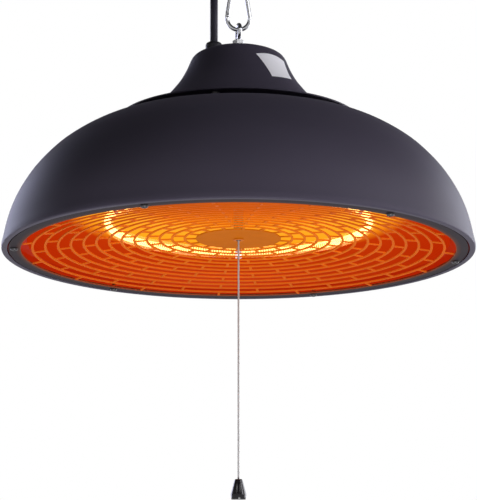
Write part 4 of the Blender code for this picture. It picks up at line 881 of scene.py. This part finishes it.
# %% Vent plate
PLATE_LOW, PLATE_TOP = -136.5 * MM, -135.0 * MM
rivet_places = around(4, 104.0 * MM, 258.9)
plate_outline = rounded(band(0.0, 112.0 * MM, PLATE_LOW, PLATE_TOP), 0.4 * MM)
plate_holes = rods(SCREW_HOLE, -150.0 * MM, -130.0 * MM, rivet_places + screw_places)
plate_mesh = carve(spun(plate_outline, 160), [plate_holes])
keep("vent_plate_disc", plate_mesh, plate_coat, ("vent_plate",))

# %% [markdown]
# ## The shade
# The shade is one spun dome: 425 mm across, with a rolled lip at the rim that turns inwards below
# and a flat top. Its profile was measured from the photograph's outline at twelve heights. The
# profile is drawn as a smooth curve and spun once round.

# %% Shade
RIM_Z, SHEET = -258.4 * MM, 1.5 * MM
at_rim = at(0.0, 0.0, RIM_Z)
WALL_POINTS = ((212.5, 3.5), (210.9, 11.2), (208.6, 22.5), (205.4, 33.7), (200.9, 45.0), (195.0, 56.2),
               (187.7, 67.5), (178.4, 78.7), (167.0, 90.0), (151.6, 101.2), (135.5, 110.0),
               (120.0, 115.2))
wall = flowing(mm(*WALL_POINTS), 3.2 * MM)
shade_outline = [*mm((207.2, 0.0), (212.5, 0.0)), *wall, *mm((0.0, 115.2), (0.0, 113.7)),
                 *offset(wall, SHEET)[::-1], *mm((211.0, 0.0), (207.2, 0.0), base=SHEET)]
vents = rods(8.0 * MM, -150.0 * MM, -140.0 * MM, around(8, 82.0 * MM, 22.5))
rivet_holes = rods(SCREW_HOLE, -150.0 * MM, -140.0 * MM, rivet_places)
shade_mesh = spun(rounded(shade_outline, 2.0 * MM, 6), 180, at_rim)
shade_mesh = carve(shade_mesh, [together([vents, rivet_holes])])
keep("shade_shell", shade_mesh, shade_coat, ("shade",))

# %% Blackened rivets
blackened = plain("blackened_steel", {"Metallic": 1.0},
                  ((0.035, 0.034, 0.037), (0.075, 0.072, 0.075), 500.0, 3.0),
                  (0.34, 0.16, 1200.0), (0.015, 1800.0))

SHANK_MM = 1.75
UNDER_SHADE, PLATE_FACE = -145.0 * MM, -134.7 * MM
rivet_outline = [*mm((0.0, -1.2), (2.4, -1.2), (3.5, 0.0), (SHANK_MM, 0.0), base=UNDER_SHADE),
                 *mm((SHANK_MM, -142.9), (3.5, -142.9), (3.5, -136.8), (SHANK_MM, -136.8)),
                 *mm((SHANK_MM, 0.0), (3.5, 0.0), (2.4, 1.2), (0.0, 1.2), base=PLATE_FACE)]
rivets_mesh = copies(spun(rounded(rivet_outline, 0.3 * MM), 24), rivet_places)
keep("spacer_rivets", rivets_mesh, blackened,
     [f"vent_rivet_{k}" for k in (1, 2, 3, 4)])

# %% [markdown]
# ## The guard
# The guard is the part with the most work in it: a dished sheet with fourteen rows of curved
# slots, fifteen to a row, whose ribs are staggered like bricks. It starts as one line of points,
# two for each row, spun into a sheet of 180 columns. The columns beside a rib are then drawn
# together until each rib has the same width at every radius, the slots' faces are taken out, and
# the sheet gets its thickness.

# %% Guard's measures
ROWS, SLOTS = 14, 15
DISC, FLANGE, GUARD_EDGE = 38.4 * MM, 195.2 * MM, 206.1 * MM
BAR, RIB, GUARD_SHEET = 2.2 * MM, 2.2 * MM, 1.1 * MM
ROW_PITCH = (FLANGE - DISC + BAR) / ROWS
COLUMNS, COLUMN_DEG = 6, 2
FLANGE_HEIGHT, DISH_DEPTH, DISH_POWER = 0.5 * MM, 14.3 * MM, 1.62


def dish(radius):
    """The guard's height over the rim at a radius."""
    share = min(max((radius - DISC) / (FLANGE - DISC), 0.0), 1.0)
    return FLANGE_HEIGHT + DISH_DEPTH * (1.0 - share ** DISH_POWER)


# %% Guard
radii = [3.8 * MM, 16.0 * MM, 27.0 * MM]
for row in range(ROWS):
    radii += [DISC + row * ROW_PITCH, DISC + (row + 1) * ROW_PITCH - BAR]
radii += [200.0 * MM, GUARD_EDGE]
bm = bmesh.new()
traced(bm, [(r, 0.0, dish(r)) for r in radii], loop=False)
spin(bm, 2 * SLOTS * COLUMNS)
slots = []
for face in bm.faces:
    middle = face.calc_center_median()
    radius = hypot(middle.x, middle.y)
    column = int(degrees(atan2(middle.y, middle.x)) % 360.0 // COLUMN_DEG)
    row, into = divmod(radius - DISC, ROW_PITCH)
    rib = (column % (2 * COLUMNS)) == (0 if row % 2 else COLUMNS)
    if 0 <= row < ROWS and into < ROW_PITCH - BAR and not rib:
        slots.append(face)
bmesh.ops.delete(bm, geom=slots, context="FACES")
sector = radians(COLUMNS * COLUMN_DEG)
for vert in bm.verts:
    radius, turn = vert.co.to_2d().length, atan2(vert.co.y, vert.co.x) % tau
    half = min(RIB / 2 / radius, sector / 7)
    column = round((turn % sector) / (sector / COLUMNS)) % COLUMNS
    start = round((turn - column * sector / COLUMNS) / sector) * sector
    new = start + (-half if column == 0 else half + (sector - 2 * half) * (column - 1) / (COLUMNS - 1))
    vert.co = polar(radius, new, vert.co.z)
print("guard columns:", 2 * SLOTS * COLUMNS, "slots:", len(slots) // (2 * COLUMNS - 1))

# %% Guard's thickness
grown = bmesh.ops.extrude_face_region(bm, geom=bm.faces[:])
moved = [v for v in grown["geom"] if isinstance(v, bmesh.types.BMVert)]
bmesh.ops.translate(bm, verts=moved, vec=(0.0, 0.0, GUARD_SHEET))
screw_spots = around(6, 201.0 * MM, 8.0)
guard_mesh = carve(closed(bm, at_rim), [rods(SCREW_HOLE, -260 * MM, -250 * MM, screw_spots)])

# %% [markdown]
# The guard's flange is dark, while its slotted middle is painted an orange-yellow glow: the light
# of the lamp behind it, painted into the colour. The finish is painted by the distance from the
# axis, and a little of its colour is given as light, a painted glow along the thin bars' edges.

# %% Guard coating
guard_look = {"Specular IOR Level": 0.008, "Emission Strength": 0.55}
guard_coat, shader, place = finish("guard_painted_glow", guard_look, rough=(0.42, 0.16, 900.0),
                                   bumps=(0.02, 1700.0, 2.0))
radius = place.radius()
# painted glow in the slotted middle, the flange's own dark colour at the edge
glow_and_flange_tint = radius.share(0.0, 0.2).ramp(
    (0.0, (0.36, 0.088, 0.002)), (0.19, (0.36, 0.088, 0.002)), (0.24, (0.50, 0.115, 0.004)),
    (0.66, (0.44, 0.082, 0.005)), (0.80, (0.42, 0.078, 0.005)), (0.970, (0.42, 0.076, 0.005)),
    (0.980, (0.090, 0.044, 0.034)), (1.0, (0.036, 0.030, 0.034)))
mottle = place.noise(60.0, 4.0).colours((0.84, 0.84, 0.84), (1.0, 1.0, 1.0))
glow_and_flange_colour = glow_and_flange_tint.node("ShaderNodeMix", {"data_type": "RGBA", "blend_type": "MULTIPLY"},
                 {0: 1.0, 6: glow_and_flange_tint, 7: mottle}, 2)
# painted glow: the slotted middle gives its colour back as light of its own
slotted = 1.0 - radius.share(0.1925, 0.1965)
paint(shader, Base_Color=glow_and_flange_colour, Emission_Color=slotted.colours(BLACK, glow_and_flange_colour))
keep("guard_grille", guard_mesh, guard_coat, ("grille_guard",), 30.0)

# %% [markdown]
# Six pan-head screws hold the guard. Each has a cross recess, so a cross of two blocks is cut out
# of its head.

# %% Guard screws
seat = RIM_Z + 0.2 * MM
screw_outline = mm((0.0, -2.2), (2.0, -2.2), (3.2, -1.5), (3.5, 0.0), (SHANK_MM, 0.0), (SHANK_MM, 5.9),
                   (0.0, 5.9), base=seat)
cross = [block((-a, -b, seat - 3 * MM), (a, b, seat - 1.0 * MM))
         for a, b in ((1.7 * MM, 0.4 * MM), (0.4 * MM, 1.7 * MM))]
screw = carve(spun(rounded(screw_outline, 0.35 * MM), 24), cross)
keep("guard_screws", copies(screw, screw_spots), blackened,
     [f"grille_screw_{k}" for k in range(1, 7)])

# %% [markdown]
# ## The reflector
# Behind the guard a shallow dish of polished aluminium throws the heat down. It is spun like the
# shade. Its glow is painted: nearly yellow beside the ring lamp and deep red at its edge. That
# painted glow is given as the dish's own light, by its distance from the axis, so it stays the same
# for every light around the heater. Its dark red colour and red-tinted gloss are painted as well.

# %% Aluminium with painted glow
# red-tinted gloss and emission: a painted reflection and painted glow, for the reflector and the rim
# ring
PAINTED_GLOW_METAL = {"Metallic": 1.0, "Specular Tint": (0.6, 0.12, 0.03, 1.0), "Emission Strength": 1.0}
SPIN_PITCH = 1.3 * MM
# dark red colour: painted shade inside the shade and painted red reflection of the glow
dish_metal, shader, place = finish("dish_painted_glow", PAINTED_GLOW_METAL,
                                   ((0.05, 0.010, 0.003), (0.08, 0.016, 0.004), 120.0))
radius = place.radius()
# painted glow: yellow beside the lamp, deep red at the edge, by the distance from the axis
glow = radius.share(0.0, 0.2).ramp(
    (0.10, (0.50, 0.095, 0.003)), (0.34, (0.72, 0.15, 0.004)), (0.50, (0.84, 0.25, 0.006)),
    (0.57, (1.0, 0.42, 0.02)), (0.70, (1.0, 0.40, 0.012)), (0.74, (0.85, 0.24, 0.006)),
    (0.78, (0.50, 0.030, 0.0006)), (0.95, (0.42, 0.018, 0.0004)))
paint(shader, Emission_Color=glow)
rings = (radius * (tau / SPIN_PITCH)).sum("SINE")
paint(shader, Roughness=0.52 + 0.05 * rings)
relief(shader, rings, 0.004 * MM)

# %% Reflector
DISH_POINTS = ((190.0, 8.1), (185.0, 14.5), (180.5, 20.3), (170.0, 28.5), (155.8, 36.0), (141.0, 42.4),
               (125.4, 47.6), (108.0, 51.6), (91.2, 54.5), (74.0, 56.8), (57.0, 58.0), (7.0, 58.0))
DISH_SHEET = 0.8 * MM
LAMP_RADIUS, LAMP_Z, LAMP_GAP_DEG = 118.5 * MM, RIM_Z + 29.0 * MM, 26.0
dish_wall = flowing(mm(*DISH_POINTS), 4.0 * MM)
dish_outline = dish_wall + offset(dish_wall, DISH_SHEET)[::-1]
lead_turn = radians(LAMP_GAP_DEG / 7)
lead_spots = [at(side * LAMP_RADIUS * sin(lead_turn), -LAMP_RADIUS * cos(lead_turn), 0.0)
              for side in (-1, 1)]
lead_holes = rods(3.0 * MM, -240 * MM, -195 * MM, lead_spots)
reflector_mesh = carve(spun(dish_outline, 120, at_rim), [lead_holes])
keep("reflector_dish", reflector_mesh, dish_metal, ("reflector",))

# %% [markdown]
# ## The ring lamp
# The lamp is a quartz tube bent to a ring that is open at one side, with a ceramic cap on each
# end. Its light comes from a wound filament inside, so the filament is modelled: one wire that
# winds round the ring's middle line, white-hot where it lies close. The quartz round it is clear,
# with a faint glow of its own.

# %% Glowing quartz
quartz_look = {"Emission Strength": 1.0, "Alpha": 0.22, "Coat Weight": 0.3}
quartz, shader, place = finish("glowing_quartz", quartz_look, rough=(0.08, 0.06, 300.0))
haze = place.noise(90.0, 2.0)
paint(shader, Emission_Color=haze.colours((0.80, 0.22, 0.010), (1.0, 0.34, 0.025)))
paint(shader, Base_Color=haze.colours((0.90, 0.62, 0.36), (1.0, 0.74, 0.50)))

# %% Lamp tube
TUBE, END_CAP = 11.0 * MM, 16.0 * MM
cap_deg = degrees(END_CAP / LAMP_RADIUS)
open_deg = LAMP_GAP_DEG + cap_deg * 0.8
sweep = 360.0 - open_deg


def ring_way(steps, wound=0.0, turns=0.0):
    """Points along the lamp's ring, on its middle line or wound round it."""
    points = []
    for k in range(steps + 1):
        angle = radians(-90.0 + open_deg / 2 + sweep * k / steps)
        twist = tau * turns * k / steps
        reach = LAMP_RADIUS + wound * cos(twist)
        points.append(polar(reach, angle, LAMP_Z + wound * sin(twist)))
    return points


keep("lamp_quartz", wire_mesh(ring_way(120), TUBE, 6), quartz, ("lamp_tube",))

# %% Filament
FILAMENT_TURNS, FILAMENT_RADIUS, FILAMENT_WIRE = 270, 2.7 * MM, 0.7 * MM
white_hot, shader, place = finish("white_hot_wire", {"Emission Strength": 6.0},
                                  ((0.30, 0.28, 0.27), (0.36, 0.34, 0.33), 400.0), (0.5, 0.1, 900.0))
paint(shader, Emission_Color=place.noise(60.0, 2.0).colours((1.0, 0.42, 0.08), (1.0, 0.52, 0.13)))
filament_way = ring_way(FILAMENT_TURNS * 12, FILAMENT_RADIUS, FILAMENT_TURNS)
keep("lamp_filament", wire_mesh(filament_way, FILAMENT_WIRE, 0), white_hot, (), 80.0)

# %% Lamp ends
ceramic = plain("lamp_ceramic", {"Specular IOR Level": 0.35},
                ((0.70, 0.66, 0.58), (0.86, 0.83, 0.77), 200.0, 4.0),
                (0.62, 0.2, 1100.0), (0.05, 1600.0, 3.0))

end_outline = [(0.0, 0.0), *mm((6.75, 0.0), (7.5, 0.75)), (7.5 * MM, END_CAP), (6.1 * MM, END_CAP),
               *mm((6.1, 5.6), (0.0, 5.6))]
end_places = []
for side in (-1, 1):
    angle = -pi / 2 + side * radians(LAMP_GAP_DEG / 2)
    middle = at(*polar(LAMP_RADIUS, angle, LAMP_Z))
    swing = Matrix.Rotation(angle + side * radians(cap_deg) / 2, 4, "Z")
    end_places.append(middle @ (swing @ turned(-side * 90.0, "X")))
ends_mesh = copies(spun(rounded(end_outline, 0.6 * MM), 32), end_places)
keep("lamp_ends", ends_mesh, ceramic, ("lamp_end_cap_1", "lamp_end_cap_2"))

# %% [markdown]
# ## Posts, bush and the parts inside
# Three shouldered posts carry the reflector, a small bush leads the pull cord out of the guard's
# middle, and behind them sit the switch with its plunger, the heat shield and the lamp's leads.
# These hidden ones keep their solids and get their own finishes.

# %% Posts
post_top = RIM_Z + 58.0 * MM
head_high = post_top - 1.1 * MM
post_outline = [*mm((0.0, -1.5), (3.5, -1.5), (5.0, 0.0), (SHANK_MM, 0.0), base=head_high),
                *mm((SHANK_MM, 0.3), (5.0, 0.3), (5.0, 20.3), (3.5, 20.3), base=post_top),
                (3.5 * MM, UNDER_SHADE), (0.0, UNDER_SHADE)]
posts_mesh = copies(spun(rounded(post_outline, 0.4 * MM), 24), around(3, 50.0 * MM, 90.0))
keep("reflector_posts", posts_mesh, satin_zinc,
     [f"reflector_post_{k}" for k in (1, 2, 3)])

# %% Cord bush
face_z = RIM_Z + dish(0.0)
mouth = face_z - 1.2 * MM
bush_outline = [*mm((2.1, 0.0), (4.5, 0.0), (4.8, 0.3), base=mouth),
                *mm((4.8, -0.3), (3.2, -0.3), (3.2, 4.1), (1.65, 4.1), base=face_z),
                *mm((1.65, 0.9), base=mouth)]
# painted glow and painted shade: the guard's orange-yellow glow colour, also given as light, and a dark
# mouth round the bore where the hole is in shade
bush_coat, shader, place = finish("bush_painted_glow", {"Specular IOR Level": 0.1, "Emission Strength": 0.55},
                                  rough=(0.44, 0.14, 900.0))
off_bore = place.radius().share(2.0 * MM, 2.6 * MM)
glow_and_mouth_shade = off_bore.colours((0.020, 0.008, 0.003), (0.33, 0.080, 0.002))
paint(shader, Base_Color=glow_and_mouth_shade, Emission_Color=glow_and_mouth_shade)
bush_mesh = spun(rounded(bush_outline, 0.25 * MM), 48)
keep("mouth_bush", bush_mesh, bush_coat, ("cord_bush",))

# %% Finishes of the parts inside
steel = plain("sheet_steel", {"Metallic": 1.0},
              ((0.46, 0.46, 0.46), (0.60, 0.60, 0.60), 90.0, 4.0),
              (0.36, 0.16, 400.0, 3.0, (1.0, 0.15, 1.0)), (0.01, 900.0, 2.0, (1.0, 0.1, 1.0)))
dress(steel, "heat_shield", "load_washer", "lock_nut", "cord_guide_tube", "lamp_clip_1", "lamp_clip_2",
      "lamp_clip_3", "cap_screw_1", "cap_screw_2", "cap_screw_3")

# The rim ring is steel: its dark red-brown colour, red gloss and the red glow above the lip are
# painted, standing in for the lamp's light inside the shade
glow_painted_steel, shader, place = finish("glow_painted_steel", PAINTED_GLOW_METAL,
                                  ((0.07, 0.015, 0.006), (0.11, 0.024, 0.009), 90.0, 4.0),
                                  (0.40, 0.16, 400.0, 3.0))
glow_over_lip = place.along("Z").share(-0.2562, -0.2556)
paint(shader, Emission_Color=glow_over_lip.colours(BLACK, (0.38, 0.013, 0.001)))
dress(glow_painted_steel, "rim_ring")

sleeve, shader, place = finish("braided_sleeve", {"Specular IOR Level": 0.3})
braid = 0.5 * place.noise(2400.0, 2.0) + 0.5 * place.noise(900.0, 2.0)
paint(shader, Base_Color=braid.colours((0.55, 0.50, 0.42), (0.80, 0.76, 0.68)))
paint(shader, Roughness=0.7 + 0.2 * braid)
relief(shader, braid, 0.08 * MM)
dress(sleeve, "lamp_lead_1", "lamp_lead_2")
dress(moulded, "switch_body", "gland_nut")
dress(ceramic, "switch_plunger")
dress(fibre, "inner_pull_cord")

# %% [markdown]
# ## The return spring
# A pull on the cord draws the plunger down, and a coil spring between its head and the switch's
# floor pushes it back. Its end turns lie close, as on a real one. It can't follow the plunger as a
# stiff piece. Here it gets its own mesh, and the share of its height left after the plunger's slide
# is worked out, but it is not squashed.

# %% Return spring
SPRING_FLOOR, SPRING_TOP, SLIDE = -169.7 * MM, -148.6 * MM, 9.0 * MM
SPRING_WIRE, SPRING_RADIUS, SPRING_TURNS = 0.9 * MM, 4.5 * MM, 7
CLOSE_PITCH = 1.02 * SPRING_WIRE
open_turns = SPRING_TURNS - 2.0
open_height = SPRING_TOP - SPRING_FLOOR - SPRING_WIRE - 2 * CLOSE_PITCH
spring_way = []
for k in range(SPRING_TURNS * 20 + 1):
    wound = k / 20
    middle = min(max((wound - 1.0) / open_turns, 0.0), 1.0)
    rise = 0.5 * SPRING_WIRE + CLOSE_PITCH * (wound - middle * open_turns) + middle * open_height
    turn = tau * wound
    spring_way.append(polar(SPRING_RADIUS, turn, SPRING_FLOOR + rise))
spring_mesh = wire_mesh(spring_way, SPRING_WIRE, 2)
spring = keep("spring_coil", spring_mesh, steel, ("return_spring",))
height = SPRING_TOP - SPRING_FLOOR
(height - SLIDE) / height
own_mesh(spring)

# %% [markdown]
# ## The blank label
# A small silvery label is stuck to the cap's right side. Here it is left blank. It has to lie on
# the flared wall, so a flat grid is laid between its four corners, given as a turn round the axis
# and a height on the cap, and each of its points is put on the wall. A flat strip round a cone
# bows towards the narrow end, and so does this one.

# %% Label film
film = plain("label_film", {"Metallic": 0.15, "Specular IOR Level": 0.5},
             ((0.80, 0.785, 0.815), (0.87, 0.855, 0.885), 45.0, 3.0),
             (0.34, 0.10, 800.0), (0.03, 150.0, 2.0))

# %% Label
LABEL_CORNERS = ((-70.0, 52.5), (-27.5, 52.3), (-61.0, 28.0), (-35.5, 31.5))
LABEL_BOW, LABEL_LEAN = 2.4 * MM, radians(3.0)
LABEL_LIFT, LABEL_FILM = 0.12 * MM, 0.1 * MM


def cap_radius(height):
    """The cap's outer radius at a height over its foot."""
    for (r0, z0), (r1, z1) in zip(cap_wall, cap_wall[1:]):
        if z0 <= height <= z1:
            return r0 + (r1 - r0) * (height - z0) / (z1 - z0)
    return cap_wall[-1][0]


bm = bmesh.new()
bmesh.ops.create_grid(bm, x_segments=16, y_segments=12, size=0.5)
corners = [Vector((radians(a), z * MM)) for a, z in LABEL_CORNERS]
top_left, top_right, low_left, low_right = corners
for vert in bm.verts:
    u, v = vert.co.x + 0.5, vert.co.y + 0.5
    turn, height = low_left.lerp(low_right, u).lerp(top_left.lerp(top_right, u), v)
    height += LABEL_BOW * 4 * u * (1 - u) * v
    turn += LABEL_LEAN * 4 * v * (1 - v) * (1 - u)
    reach = cap_radius(height) + LABEL_LIFT
    vert.co = polar(reach, turn, CAP_Z + height)
bmesh.ops.solidify(bm, geom=bm.faces, thickness=-LABEL_FILM)
keep("blank_label", closed(bm), film)

# %% [markdown]
# ## Floor, light and background
# The heater hangs more than two metres over a pale floor. A big soft lamp stands behind it on the
# left and two behind it on the right, which give the dome its light edges. One more stands on the
# right and one low in front, so the dome is darkest on its left. Two narrow strips high in front
# draw the thin highlights on wires and cords. The world gives little light itself. The camera sees
# it white, and metal and gloss reflect it white near the horizon and darker towards the ceiling.

# %% Floor
FLOOR_Z, FLOOR_REACH = -2.3, 60.0


def seen_by(tree):
    """The camera's rays, and these with the rays of reflections and clear materials."""
    kinds = ("Is Camera Ray", "Is Glossy Ray", "Is Transmission Ray")
    camera, glossy, clear = [source(tree, "ShaderNodeLightPath", kind) for kind in kinds]
    return camera, camera.sum("MAXIMUM", glossy).sum("MAXIMUM", clear)


floor_paint, shader, place = finish("pale_floor", {"Specular IOR Level": 0.2, "Emission Strength": 1.0},
                                    ((0.86, 0.86, 0.86), (0.90, 0.90, 0.90), 1.5, 3.0), (0.8, 0.1, 6.0))
seen = seen_by(place.tree)[1]
paint(shader, Emission_Color=seen.colours(BLACK, (0.84, 0.84, 0.845)))
bm = bmesh.new()
bmesh.ops.create_grid(bm, x_segments=4, y_segments=4, size=FLOOR_REACH)
floor = placed("floor", closed(bm, at(0.0, 0.0, FLOOR_Z)))
floor.data.materials.append(floor_paint)

# %% World
CEILING_DIM = 0.94
world = bpy.data.worlds.new("studio")
world.use_nodes = True
scene.world = world
tree = world.node_tree
camera_ray, shows = seen_by(tree)
soft = shows.node("ShaderNodeBackground", {}, {"Color": (0.92, 0.94, 1.0, 1.0), "Strength": 0.08})
ceiling = source(tree, "ShaderNodeTexCoord", "Generated").along("Z").share(0.10, 0.55)
level = (1.0 - CEILING_DIM * ceiling).sum("MAXIMUM", camera_ray)
white = shows.node("ShaderNodeBackground", {}, {"Color": (1.0, 1.0, 1.0, 1.0), "Strength": level})
mixed = shows.node("ShaderNodeMixShader", {}, {0: shows, 1: soft, 2: white})
tree.links.new(mixed.output, tree.nodes["World Output"].inputs["Surface"])

# %% Lamps
MIDDLE = Vector((0.0, 0.0, -0.2))
WHITE, FAINTLY_COOL = (1.0, 1.0, 1.0), (0.94, 0.94, 1.0)
COOL, BLUISH = (0.84, 0.86, 1.0), (0.71, 0.73, 1.0)
LAMPS = (
    ("left_light", (-1.5, 1.6, 0.1), (1.0, 1.6), 34.0, BLUISH),
    ("right_light", (1.8, 0.8, -0.1), (0.9, 1.6), 20.0, WHITE),
    ("right_back_light", (1.5, 1.6, 0.1), (0.8, 1.6), 21.0, COOL),
    ("right_side_light", (2.0, -0.7, 0.5), (0.8, 1.4), 31.0, FAINTLY_COOL),
    ("front_light", (0.42, -1.55, -1.75), (0.9, 0.9), 46.0, WHITE),
    ("left_panel", (-1.15, -1.84, 0.9), (1.0, 0.2), 3.6, WHITE),
    ("right_panel", (1.2, -1.81, 0.9), (1.0, 0.2), 3.6, WHITE),
)
for name, spot, size, power, colour in LAMPS:
    light = bpy.data.lights.new(name, "AREA")
    light.shape = "RECTANGLE"
    light.size, light.size_y = size
    light.energy = power
    light.color = colour
    lamp = placed(name, light)
    lamp.location = spot
    lamp.rotation_euler = (MIDDLE - Vector(spot)).to_track_quat("-Z", "Y").to_euler()
scene.view_settings.view_transform = "Standard"
